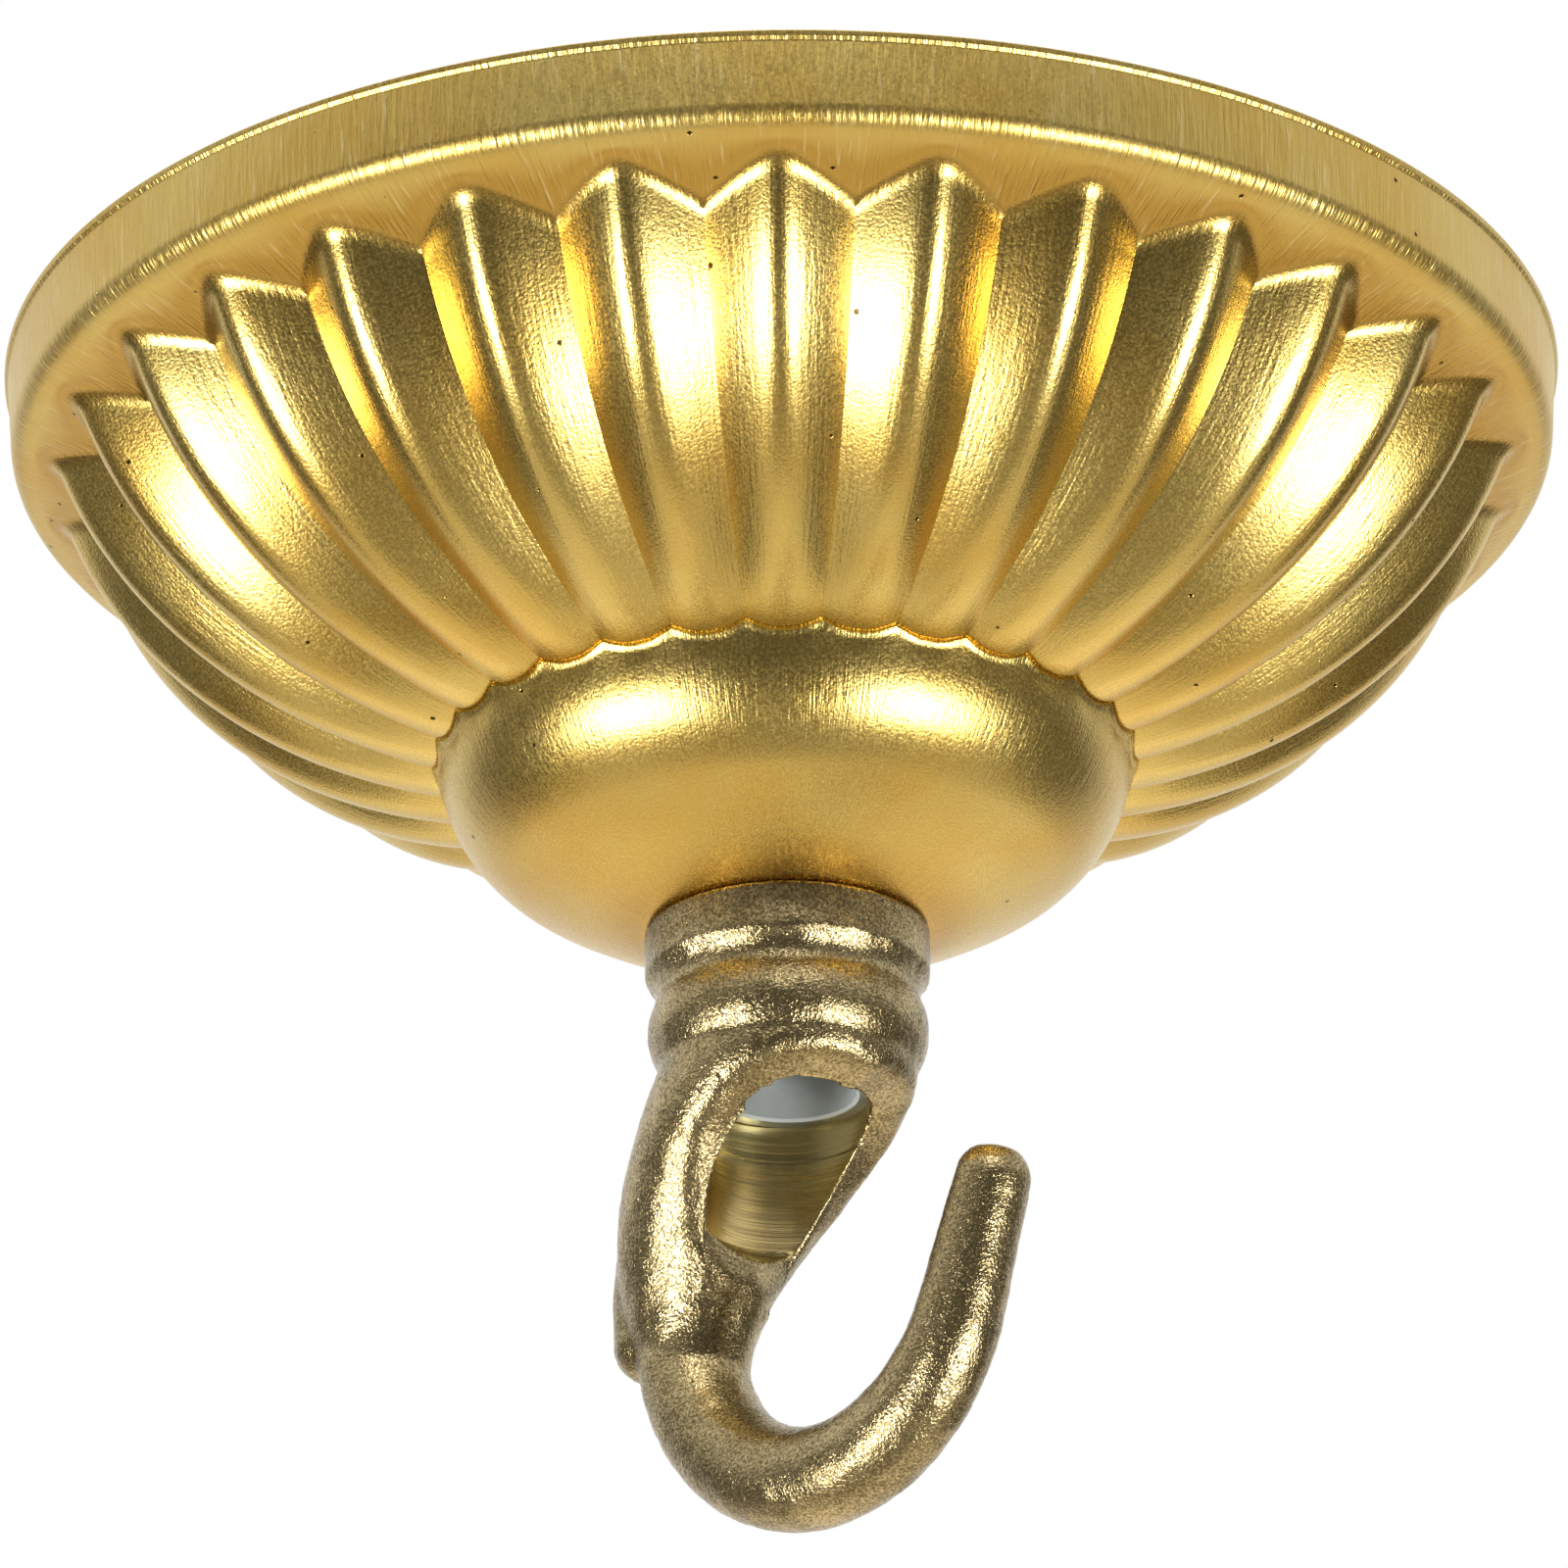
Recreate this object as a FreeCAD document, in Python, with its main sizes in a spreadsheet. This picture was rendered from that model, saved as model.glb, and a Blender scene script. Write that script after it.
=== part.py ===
"""Ceiling hook: a pressed, fluted brass canopy with a cast brass open hook under it.

Millimetres, +Z up. The origin is the middle of the ceiling plane: the canopy's rim and the ends of the
strap lie at z = 0, and the hook hangs towards -Z. Depths in the sheet are distances below the ceiling
or, in the hook, below its collar.
"""
import FreeCAD
import Part
import Sketcher
import math
import os

SIZES = [
    # Canopy: rim and sloping field
    ("rim_radius", 42.5, "outer radius of the rim at the ceiling"),
    ("rim_depth", 4.7, "height of the rim wall"),
    ("rim_taper", 0.5, "how far the rim wall leans in over its height"),
    ("field_slope", 23, "degrees that the field falls towards the flutes"),
    ("field_inner_radius", 35.3, "inner end of the field's cone, hidden in the flutes"),
    ("sheet_thickness", 0.8, "brass sheet"),
    # Canopy: bowl, flutes and dome
    ("bowl_radius", 27.9, "radius of the arc along a flute's ridge"),
    ("bowl_centre_out", 14.0, "centre of that arc, out from the axis"),
    ("bowl_centre_up", 4.9, "centre of that arc, above the ceiling"),
    ("valley_radius", 26.2, "radius of the arc along a flute's valley"),
    ("valley_centre_out", 13.0, "centre of the valley arc, out from the axis"),
    ("valley_centre_up", 4.0, "centre of the valley arc, above the ceiling"),
    ("flute_half_angle", 58.5, "degrees from a flute's middle to its flank"),
    ("flute_count", 30, "flutes round the bowl"),
    ("flute_cut", 4.7, "how deep the wedge between two flutes is drawn, from the valley outwards"),
    ("flute_sweep", 85, "degrees that this wedge swings, from straight down towards the rim"),
    ("dome_radius", 18.8, "radius of the plain dome"),
    ("dome_depth", 21.4, "level of the dome's widest line"),
    ("dome_shoulder", 8.4, "radius of the dome's side"),
    ("dome_skirt", 4.2, "straight side above the widest line, hidden in the bowl"),
    ("dome_crown", 44, "radius of the dome's underside"),
    ("seat_radius", 7.4, "flat under the hook's collar"),
    ("seat_depth", 32, "level of that flat"),
    # Threaded tube, nuts and washer
    ("thread_radius", 5, "M10 tube"),
    ("thread_clearance", 0.05, "radial play of every thread"),
    ("tube_bore_radius", 3.6, "way for the cable"),
    ("tube_reach", 9.35, "tube end below the hook's collar"),
    ("tube_top_gap", 2, "tube end below the ceiling"),
    ("hole_clearance", 0.25, "radial play of plain holes round the tube"),
    ("nut_flats", 14, "nut, across its flats"),
    ("nut_height", 4.5, "thin nut"),
    ("washer_radius", 6.9, "outer radius of the washer"),
    ("washer_thickness", 1.2, "washer"),
    # Ceiling strap
    ("strap_half_length", 36, "middle of the strap to its end"),
    ("strap_width", 14, "strap"),
    ("strap_thickness", 2, "strap"),
    ("strap_shoulder", 26, "middle of the strap to where its leg bends down"),
    ("strap_drop", 8, "how far the middle lies below the ends"),
    ("slot_spacing", 62, "between the two screw slots"),
    ("slot_travel", 3, "length of a slot between its round ends"),
    ("slot_radius", 2.25, "for a 4 mm screw"),
    # Hook: barrel
    ("hook_turn", 45, "degrees that the hook's mouth is turned from +X towards -Y"),
    ("collar_radius", 7.65, "collar that meets the canopy"),
    ("collar_height", 2.6, "straight part of the collar"),
    ("neck_radius", 7.1, "between collar and rib"),
    ("neck_depth", 4.2, "level where the neck meets the rib"),
    ("neck_round", 1.8, "hollow of the neck"),
    ("rib_round", 3.4, "section of the rib"),
    ("rib_bottom_depth", 7.8, "level where the rib ends"),
    ("throat_neck_radius", 6.9, "barrel below the rib"),
    ("tap_depth", 11.4, "depth of the tapped bore"),
    ("drill_radius", 4.5, "bore below the thread"),
    ("drill_depth", 16.8, "depth of the bore, down to the drill's point"),
    ("drill_half_point", 59, "degrees from the drill's axis to its cutting edge"),
    # Hook: hood round the window
    ("hood_depth", 12, "level of the hood's middle section"),
    ("hood_offset", 2.2, "how far that section lies towards the back"),
    ("hood_half_depth", 7.2, "that section, front to back"),
    ("hood_half_width", 6.7, "that section, side to side"),
    ("foot_depth", 17, "level of the section at the window's foot"),
    ("foot_offset", 5.8, "how far that section lies towards the back"),
    ("foot_half_depth", 5.5, "that section, front to back"),
    ("foot_half_width", 4.8, "that section, side to side"),
    ("merge_depth", 24, "level where the hood has run into the J's rod"),
    ("merge_offset", 7, "how far that section lies towards the back"),
    ("merge_half_depth", 2.7, "that section, front to back"),
    ("merge_half_width", 2.6, "that section, side to side"),
    ("throat_face", 2.5, "inner face of the shank, behind the axis"),
    ("throat_roof", 8.5, "level of the throat's highest line"),
    ("throat_out", 12.8, "how far that line lies towards the mouth"),
    ("throat_arch", 17.5, "radius of the throat's roof"),
    ("throat_draft", 12, "degrees that both halves of the throat widen outwards from the parting line"),
    ("lip_round", 1.4, "rounded lip of the window's hood"),
    # Hook: bar down the back
    ("back_radius", 2.6, "bar down the back of the shank"),
    ("back_offset", 9.8, "middle of the bar, behind the axis"),
    ("back_start_offset", 6.4, "middle of its upper end, inside the hood"),
    ("back_start_depth", 11.5, "level of its upper end"),
    ("back_straight_depth", 18.5, "level where it turns straight down"),
    ("back_depth", 22.8, "level where it ends"),
    ("back_round", 1.9, "rounded edge of its end"),
    # Hook: J
    ("loop_radius", 10.33, "middle line of the J's bend"),
    ("loop_centre_out", 2.75, "middle of the bend, towards the mouth"),
    ("loop_centre_depth", 20.9, "middle of the bend, below the collar"),
    ("shank_lean", 14.2, "degrees that the shank leans back"),
    ("shank_length", 6, "straight shank above the bend"),
    ("arm_lean", 20.8, "degrees that the arm leans out"),
    ("arm_length", 8.6, "straight arm after the bend"),
    ("rod_radius", 2.95, "rod at the shank"),
    ("bend_radius", 2.72, "rod at the bend's lowest point"),
    ("arm_radius", 2.32, "rod where the arm starts"),
    ("tip_radius", 1.9, "rod at the tip"),
    ("tip_round", 1.7, "rounded edge of the tip"),
]

PLANES = {"top": "XY_Plane", "front": "XZ_Plane", "side": "YZ_Plane"}

# How near two points, a radius or the sine of two leans have to be to count as the same
SAME_POINT = 1e-6
SAME_RADIUS = 0.01
SAME_LEAN = 0.02

doc = FreeCAD.newDocument("ceiling_hook")


def make_sheet():
    """The driving dimensions, one row each: what it is, its value and its alias."""
    sheet = doc.addObject("Spreadsheet::Sheet", "dim")
    for row, (alias, value, meaning) in enumerate(SIZES, start=1):
        sheet.set(f"A{row}", meaning)
        sheet.set(f"B{row}", str(value))
        sheet.setAlias(f"B{row}", alias)
    doc.recompute()


def new_body(label, level="0"):
    """A body whose own z = 0 lies at the given level."""
    body = doc.addObject("PartDesign::Body", label)
    body.Label = label
    body.setExpression("Placement.Base.z", level)
    return body


def new_sketch(body, name, plane, out="0", up="0", lean="0"):
    """A sketch on a plane of the body, moved out from it or, on top, along X and Z and tipped about Y."""
    sketch = body.newObject("Sketcher::SketchObject", name)
    origin_plane = [f for f in body.Origin.OriginFeatures if f.Role == PLANES[plane]][0]
    sketch.AttachmentSupport = [(origin_plane, "")]
    sketch.MapMode = "FlatFace"
    if plane != "top":
        sketch.setExpression("AttachmentOffset.Base.z", out)
    else:
        tipped = FreeCAD.Rotation(FreeCAD.Vector(0, 1, 0), 1)
        sketch.AttachmentOffset = FreeCAD.Placement(FreeCAD.Vector(), tipped)
        sketch.setExpression("AttachmentOffset.Base.x", out)
        sketch.setExpression("AttachmentOffset.Base.z", up)
        sketch.setExpression("AttachmentOffset.Rotation.Angle", lean)
    return sketch


def bind(sketch, kind, *where, to):
    """One sketch constraint whose value is an expression."""
    index = sketch.addConstraint(Sketcher.Constraint(kind, *where, sketch.evalExpression(to)))
    sketch.setExpression(f"Constraints[{index}]", to)


def pin_point(sketch, edge, end, x, y):
    """Holds one end of an edge at a place given by two expressions."""
    bind(sketch, "DistanceX", -1, 1, edge, end, to=x)
    bind(sketch, "DistanceY", -1, 1, edge, end, to=y)


def arc_through(start, finish, radius, side):
    """Arc between two points that bulges to the left (side 1) or right (side -1) of the way between them."""
    chord = finish - start
    left = FreeCAD.Vector(-chord.y, chord.x, 0).normalize() * side
    rise = radius - math.sqrt(radius ** 2 - chord.Length ** 2 / 4)
    return Part.Arc(start, (start + finish) / 2 + left * rise, finish)


def end_at(sketch, edge, point):
    """Which end of an edge lies at a point: 1 is its start and 2 its finish."""
    return 1 if sketch.getPoint(edge, 1).distanceToPoint(point) < SAME_POINT else 2


def draw(sketch, corners, arcs=None, closed=True):
    """Outline through corners, each a pair of expressions; arcs gives some edges a radius and a side."""
    arcs = arcs or {}
    points = [FreeCAD.Vector(sketch.evalExpression(x), sketch.evalExpression(y), 0) for x, y in corners]
    edges = []
    for number in range(len(points) if closed else len(points) - 1):
        start, finish = points[number], points[(number + 1) % len(points)]
        if number in arcs:
            radius, side = arcs[number]
            shape = arc_through(start, finish, sketch.evalExpression(radius), side)
        else:
            shape = Part.LineSegment(start, finish)
        edges.append(sketch.addGeometry(shape))
    for number, edge in enumerate(edges):
        first = end_at(sketch, edge, points[number])
        pin_point(sketch, edge, first, *corners[number])
        if closed or number + 1 < len(edges):
            following = edges[(number + 1) % len(edges)]
            meeting = points[(number + 1) % len(points)]
            sketch.addConstraint(Sketcher.Constraint(
                "Coincident", edge, 3 - first, following, end_at(sketch, following, meeting)))
        else:
            pin_point(sketch, edge, 3 - first, *corners[-1])
        if number in arcs:
            bind(sketch, "Radius", edge, to=arcs[number][0])
    return edges


def draw_circle(sketch, radius, x="0", y="0"):
    """Circle whose middle and radius are expressions."""
    middle = FreeCAD.Vector(sketch.evalExpression(x), sketch.evalExpression(y), 0)
    circle = Part.Circle(middle, FreeCAD.Vector(0, 0, 1), sketch.evalExpression(radius))
    edge = sketch.addGeometry(circle)
    pin_point(sketch, edge, 3, x, y)
    bind(sketch, "Radius", edge, to=radius)


def revolve(body, name, sketch):
    """Full turn of a sketch on the front plane about the vertical axis."""
    feature = body.newObject("PartDesign::Revolution", name)
    feature.Profile = sketch
    feature.ReferenceAxis = (sketch, ["V_Axis"])
    feature.Angle = 360


def pad(body, name, sketch, length, midplane=False):
    """Block that goes up from the sketch, or both ways from it."""
    feature = body.newObject("PartDesign::Pad", name)
    feature.Profile = sketch
    feature.setExpression("Length", length)
    feature.Midplane = midplane


def pocket(body, name, sketch, length):
    """Cut that goes down from the sketch."""
    feature = body.newObject("PartDesign::Pocket", name)
    feature.Profile = sketch
    feature.setExpression("Length", length)


def round_edges(body, name, feature, radius, wanted):
    """Fillet on those edges of a finished feature for which wanted(edge, its faces) holds."""
    doc.recompute()
    shape = feature.Shape
    names = []
    for number, edge in enumerate(shape.Edges, start=1):
        faces = shape.ancestorsOfType(edge, Part.Face)
        if wanted(edge, faces):
            names.append(f"Edge{number}")
    fillet = body.newObject("PartDesign::Fillet", name)
    fillet.Base = (feature, names)
    fillet.setExpression("Radius", radius)
    return fillet


def fluted_form(label, skin):
    """The canopy's form without its hollow, with every face moved in by skin (an expression)."""
    body = new_body(label)
    rim = f"(dim.rim_radius - {skin})"
    bowl = f"(dim.bowl_radius - {skin})"
    valley = f"(dim.valley_radius - {skin} / sin(dim.flute_half_angle))"
    field_level = f"(-dim.rim_depth + {skin} / cos(dim.field_slope))"
    field_edge = f"({rim} - dim.rim_taper)"
    inner_level = f"({field_level} - ({field_edge} - dim.field_inner_radius) * tan(dim.field_slope))"

    top_out = f"(dim.bowl_centre_out + sqrt({bowl}^2 - ({field_level} - dim.bowl_centre_up)^2))"
    foot_level = f"(dim.bowl_centre_up - sqrt({bowl}^2 - (dim.seat_radius - dim.bowl_centre_out)^2))"
    sketch = new_sketch(body, f"{label}_bowl_section", "front")
    draw(sketch, [("0", field_level), (top_out, field_level), ("dim.seat_radius", foot_level),
                  ("0", foot_level)],
         {1: (bowl, 1)})
    revolve(body, f"{label}_bowl", sketch)
    doc.recompute()

    tip = f"(dim.valley_centre_up - {valley})"
    mouth = f"({tip} - dim.flute_cut)"
    mouth_half = "(dim.flute_cut * tan(dim.flute_half_angle))"
    sketch = new_sketch(body, f"{label}_flute_section", "side", out="dim.valley_centre_out")
    draw(sketch, [("0", tip), (mouth_half, mouth), (f"-{mouth_half}", mouth)])
    pivot_level = sketch.evalExpression("dim.valley_centre_up")
    pivot_half = sketch.evalExpression(mouth_half)
    pivot = sketch.addGeometry(Part.LineSegment(
        FreeCAD.Vector(-pivot_half, pivot_level, 0), FreeCAD.Vector(pivot_half, pivot_level, 0)), True)
    pin_point(sketch, pivot, 1, f"-{mouth_half}", "dim.valley_centre_up")
    pin_point(sketch, pivot, 2, mouth_half, "dim.valley_centre_up")
    flute = body.newObject("PartDesign::Groove", f"{label}_flute")
    flute.Profile = sketch
    flute.ReferenceAxis = (sketch, ["Axis0"])
    flute.setExpression("Angle", "dim.flute_sweep")
    flute.Reversed = True
    doc.recompute()

    flutes = body.newObject("PartDesign::PolarPattern", f"{label}_flutes")
    flutes.Originals = [flute]
    flutes.Axis = ([f for f in body.Origin.OriginFeatures if f.Role == "Z_Axis"][0], [""])
    flutes.Angle = 360
    flutes.setExpression("Occurrences", "dim.flute_count")
    body.Tip = flutes
    doc.recompute()

    sketch = new_sketch(body, f"{label}_rim_section", "front")
    draw(sketch, [("0", "0"), (rim, "0"), (field_edge, field_level),
                  ("dim.field_inner_radius", inner_level), ("0", inner_level)])
    revolve(body, f"{label}_rim", sketch)
    doc.recompute()

    dome = f"(dim.dome_radius - {skin})"
    seat_level = f"(-dim.seat_depth + {skin})"
    draw_dome(body, label, dome, seat_level, skin)
    doc.recompute()
    return body


def draw_dome(body, label, dome, seat_level, skin):
    """The plain dome: a round side that runs into a flatter underside and ends at the seat's flat."""
    sketch = new_sketch(body, f"{label}_dome_section", "front")
    widest = "-dim.dome_depth"
    top = "(-dim.dome_depth + dim.dome_skirt)"
    shoulder = f"(dim.dome_shoulder - {skin})"
    crown = f"(dim.dome_crown - {skin})"
    value = sketch.evalExpression
    side_middle = FreeCAD.Vector(value(f"{dome} - {shoulder}"), value(widest), 0)
    seat_edge = FreeCAD.Vector(value("dim.seat_radius"), value(seat_level), 0)
    meeting, crown_middle = tangent_arc(side_middle, value(shoulder), seat_edge, value(crown))
    above = FreeCAD.Vector(value(dome), value(top), 0)
    widest_point = FreeCAD.Vector(value(dome), value(widest), 0)
    axis_top = FreeCAD.Vector(0, above.y, 0)
    axis_seat = FreeCAD.Vector(0, seat_edge.y, 0)
    diagonal = (widest_point + meeting) / 2 - side_middle
    side_through = side_middle + diagonal.normalize() * value(shoulder)
    sag = (meeting + seat_edge) / 2 - crown_middle
    crown_through = crown_middle + sag.normalize() * value(crown)
    shapes = [Part.LineSegment(axis_top, above), Part.LineSegment(above, widest_point),
              Part.Arc(widest_point, side_through, meeting), Part.Arc(meeting, crown_through, seat_edge),
              Part.LineSegment(seat_edge, axis_seat), Part.LineSegment(axis_seat, axis_top)]
    points = [axis_top, above, widest_point, meeting, seat_edge, axis_seat]
    edges = [sketch.addGeometry(shape) for shape in shapes]
    for number, edge in enumerate(edges):
        following = edges[(number + 1) % len(edges)]
        meet = points[(number + 1) % len(points)]
        kind = "Tangent" if number == 2 else "Coincident"
        sketch.addConstraint(Sketcher.Constraint(
            kind, edge, end_at(sketch, edge, meet), following, end_at(sketch, following, meet)))
    pin_point(sketch, edges[0], end_at(sketch, edges[0], axis_top), "0", top)
    pin_point(sketch, edges[0], end_at(sketch, edges[0], above), dome, top)
    pin_point(sketch, edges[1], end_at(sketch, edges[1], widest_point), dome, widest)
    pin_point(sketch, edges[4], end_at(sketch, edges[4], seat_edge), "dim.seat_radius", seat_level)
    pin_point(sketch, edges[5], end_at(sketch, edges[5], axis_seat), "0", seat_level)
    bind(sketch, "DistanceY", -1, 1, edges[2], 3, to=widest)
    bind(sketch, "Radius", edges[2], to=shoulder)
    bind(sketch, "Radius", edges[3], to=crown)
    revolve(body, f"{label}_dome", sketch)


def tangent_arc(side_middle, side_radius, seat_edge, crown_radius):
    """Where a larger arc that ends at seat_edge takes over smoothly from the dome's side, and its middle."""
    apart = crown_radius - side_radius
    reach = side_middle - seat_edge
    along = (crown_radius ** 2 - apart ** 2 + reach.Length ** 2) / (2 * reach.Length)
    aside = math.sqrt(crown_radius ** 2 - along ** 2)
    direction = FreeCAD.Vector(reach).normalize()
    left = FreeCAD.Vector(-direction.y, direction.x, 0)
    candidates = [seat_edge + direction * along + left * aside * sign for sign in (1, -1)]
    crown_middle = max(candidates, key=lambda point: point.y)
    outward = (side_middle - crown_middle).normalize()
    return side_middle + outward * side_radius, crown_middle


def make_canopy():
    """Pressed sheet: the fluted form less the same form moved in by the sheet's thickness, and a hole."""
    outside = fluted_form("canopy_outside", "0")
    inside = fluted_form("canopy_inside", "dim.sheet_thickness")
    shell = doc.addObject("Part::Cut", "canopy_shell")
    shell.Base = outside
    shell.Tool = inside
    hole = doc.addObject("Part::Cylinder", "canopy_hole")
    hole.setExpression("Radius", "dim.thread_radius + dim.hole_clearance")
    hole.setExpression("Height", "dim.seat_depth")
    hole.setExpression("Placement.Base.z", "-dim.seat_depth - dim.sheet_thickness")
    canopy = doc.addObject("Part::Cut", "canopy")
    canopy.Base = shell
    canopy.Tool = hole
    canopy.Label = "canopy"
    return canopy


def make_hook():
    """One casting: turned barrel, window hood, bar down the back and J. Its mouth opens along +X."""
    body = new_body("hook", "-dim.seat_depth")
    body.Placement = FreeCAD.Placement(FreeCAD.Vector(), FreeCAD.Rotation(FreeCAD.Vector(0, 0, -1), 1))
    body.setExpression("Placement.Base.z", "-dim.seat_depth")
    body.setExpression("Placement.Rotation.Angle", "dim.hook_turn")

    sketch = new_sketch(body, "barrel_section", "front")
    draw(sketch, [("0", "0"), ("dim.collar_radius", "0"), ("dim.collar_radius", "-dim.collar_height"),
                  ("dim.neck_radius", "-dim.neck_depth"), ("dim.throat_neck_radius", "-dim.rib_bottom_depth"),
                  ("0", "-dim.rib_bottom_depth")],
         {2: ("dim.neck_round", -1), 3: ("dim.rib_round", 1)})
    revolve(body, "barrel", sketch)

    start = new_sketch(body, "hood_start", "top", up="-dim.rib_bottom_depth")
    draw_circle(start, "dim.throat_neck_radius")
    sections = []
    for name in ("hood", "foot", "merge"):
        section = new_sketch(body, f"{name}_outline", "top",
                             out=f"-dim.{name}_offset", up=f"-dim.{name}_depth")
        draw_ellipse(section, f"dim.{name}_half_depth", f"dim.{name}_half_width")
        sections.append(section)
    hood = body.newObject("PartDesign::AdditiveLoft", "hood")
    hood.Profile = start
    hood.Sections = sections
    doc.recompute()

    throat = body.newObject("PartDesign::SubtractiveLoft", "throat")
    throat.Profile = throat_outline(body, "throat_left", "-2 * dim.collar_radius")
    throat.Sections = [throat_outline(body, "throat_parting", "0"),
                       throat_outline(body, "throat_right", "2 * dim.collar_radius")]
    throat.Ruled = True
    doc.recompute()
    tilt = math.sin(math.radians(throat.evalExpression("dim.throat_draft")))
    round_edges(body, "lip", throat, "dim.lip_round", lambda edge, faces: is_lip(faces, tilt))

    make_back(body)
    make_rod(body)
    doc.recompute()
    tapped, drilled = "(dim.thread_radius + dim.thread_clearance)", "dim.drill_radius"
    point = "(-dim.drill_depth - dim.drill_radius / tan(dim.drill_half_point))"
    sketch = new_sketch(body, "bore_section", "front")
    draw(sketch, [("0", "0"), (tapped, "0"), (tapped, "-dim.tap_depth"), (drilled, "-dim.tap_depth"),
                  (drilled, "-dim.drill_depth"), ("0", point)])
    bore = body.newObject("PartDesign::Groove", "bore")
    bore.Profile = sketch
    bore.ReferenceAxis = (sketch, ["V_Axis"])
    bore.Angle = 360
    doc.recompute()
    return body


def throat_outline(body, name, aside):
    """The throat's outline in a plane beside the parting line; it is larger the further out it lies."""
    grow = f"(abs({aside}) * tan(dim.throat_draft))"
    face, arch = f"(dim.throat_face + {grow})", f"(dim.throat_arch + {grow})"
    middle = "(-dim.throat_roof - dim.throat_arch)"
    below = f"({middle} - dim.throat_arch)"
    spring = f"({middle} + sqrt({arch}^2 - (dim.throat_out + {face})^2))"
    sketch = new_sketch(body, name, "front", out=aside)
    draw(sketch, [(f"-{face}", below), (f"-{face}", spring), ("dim.throat_out", f"{middle} + {arch}"),
                  ("dim.throat_out", below)],
         {1: (arch, 1)})
    return sketch


def is_lip(faces, tilt):
    """True for an edge where the throat's cut, whose faces lean sideways by the draft, meets the outside."""
    return sum(leans(face, tilt) for face in faces) == 1


def leans(face, tilt):
    """True if a face leans sideways by the same amount all over."""
    first, last, low, high = face.ParameterRange
    normals = [face.normalAt(first + (last - first) * u, low + (high - low) * v)
               for u in (0.2, 0.5, 0.8) for v in (0.2, 0.5, 0.8)]
    return all(abs(abs(normal.y) - tilt) < SAME_LEAN for normal in normals)


def draw_ellipse(sketch, half_x, half_y):
    """Ellipse about the sketch's origin, longer along x."""
    value = sketch.evalExpression
    edge = sketch.addGeometry(Part.Ellipse(FreeCAD.Vector(), value(half_x), value(half_y)))
    sketch.exposeInternalGeometry(edge)
    pin_point(sketch, edge, 3, "0", "0")
    major, minor = edge + 1, edge + 2
    bind(sketch, "Distance", major, to=f"2 * {half_x}")
    bind(sketch, "Distance", minor, to=f"2 * {half_y}")
    sketch.addConstraint(Sketcher.Constraint("Horizontal", major))


def add_bar(body, name, corners, arcs, stations, end_round):
    """A round bar along corners, with a middle, a lean and a radius at each station, and a rounded end."""
    path = new_sketch(body, f"{name}_path", "front")
    draw(path, corners, arcs, closed=False)
    sections = []
    for number, ((out, up), lean, radius) in enumerate(stations):
        section = new_sketch(body, f"{name}_section_{number}", "top", out=out, up=up, lean=lean)
        draw_circle(section, radius)
        sections.append(section)
    bar = body.newObject("PartDesign::AdditivePipe", name)
    bar.Profile = sections[0]
    bar.Spine = (path, [])
    bar.Transformation = "Multisection"
    bar.Sections = sections[1:]
    doc.recompute()
    (out, up), lean, radius = stations[-1]
    end_middle = FreeCAD.Vector(bar.evalExpression(out), 0, bar.evalExpression(up))
    end_radius = bar.evalExpression(radius)
    round_edges(body, f"{name}_end", bar, end_round,
                lambda edge, faces: lies_round(edge, end_middle, end_radius))


def lies_round(edge, middle, radius):
    """True if every point of an edge lies at a radius from a middle."""
    points = edge.discretize(5)
    return all(abs(point.distanceToPoint(middle) - radius) < SAME_RADIUS for point in points)


def make_back(body):
    """The bar down the back of the shank, from inside the hood."""
    out = "(dim.back_offset - dim.back_start_offset)"
    straight = "(dim.back_straight_depth - dim.back_start_depth)"
    upper = ("-dim.back_start_offset", "-dim.back_start_depth")
    turn = ("-dim.back_offset", "-dim.back_straight_depth")
    end = ("-dim.back_offset", "-dim.back_depth")
    bend = f"(({out}^2 + {straight}^2) / (2 * {out}))"
    lean = f"(2 * atan({out} / {straight}))"
    add_bar(body, "back_bar", [upper, turn, end], {0: (bend, -1)},
            [(upper, lean, "dim.back_radius"), (end, "0", "dim.back_radius")], "dim.back_round")


def make_rod(body):
    """The J: a round rod along a straight shank, a bend and a straight arm, thinner towards its tip."""
    out, depth, bend = "dim.loop_centre_out", "dim.loop_centre_depth", "dim.loop_radius"
    bend_start = (f"({out} - {bend} * cos(dim.shank_lean))", f"(-{depth} + {bend} * sin(dim.shank_lean))")
    bend_finish = (f"({out} + {bend} * cos(dim.arm_lean))", f"(-{depth} - {bend} * sin(dim.arm_lean))")
    lowest = (out, f"(-{depth} - {bend})")
    shank_top = (f"({bend_start[0]} + dim.shank_length * sin(dim.shank_lean))",
                 f"({bend_start[1]} + dim.shank_length * cos(dim.shank_lean))")
    tip = (f"({bend_finish[0]} + dim.arm_length * sin(dim.arm_lean))",
           f"({bend_finish[1]} + dim.arm_length * cos(dim.arm_lean))")
    add_bar(body, "rod", [shank_top, bend_start, lowest, bend_finish, tip], {1: (bend, -1), 2: (bend, -1)},
            [(shank_top, "dim.shank_lean", "dim.rod_radius"), (lowest, "90", "dim.bend_radius"),
             (bend_finish, "dim.arm_lean", "dim.arm_radius"), (tip, "dim.arm_lean", "dim.tip_radius")],
            "dim.tip_round")


def make_tube():
    """Hollow threaded tube from just below the ceiling, through strap and canopy, into the hook."""
    body = new_body("threaded_tube", "-dim.seat_depth - dim.tube_reach")
    sketch = new_sketch(body, "tube_section", "top")
    draw_circle(sketch, "dim.thread_radius")
    draw_circle(sketch, "dim.tube_bore_radius")
    pad(body, "tube", sketch, "dim.seat_depth + dim.tube_reach - dim.tube_top_gap")
    return body


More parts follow.
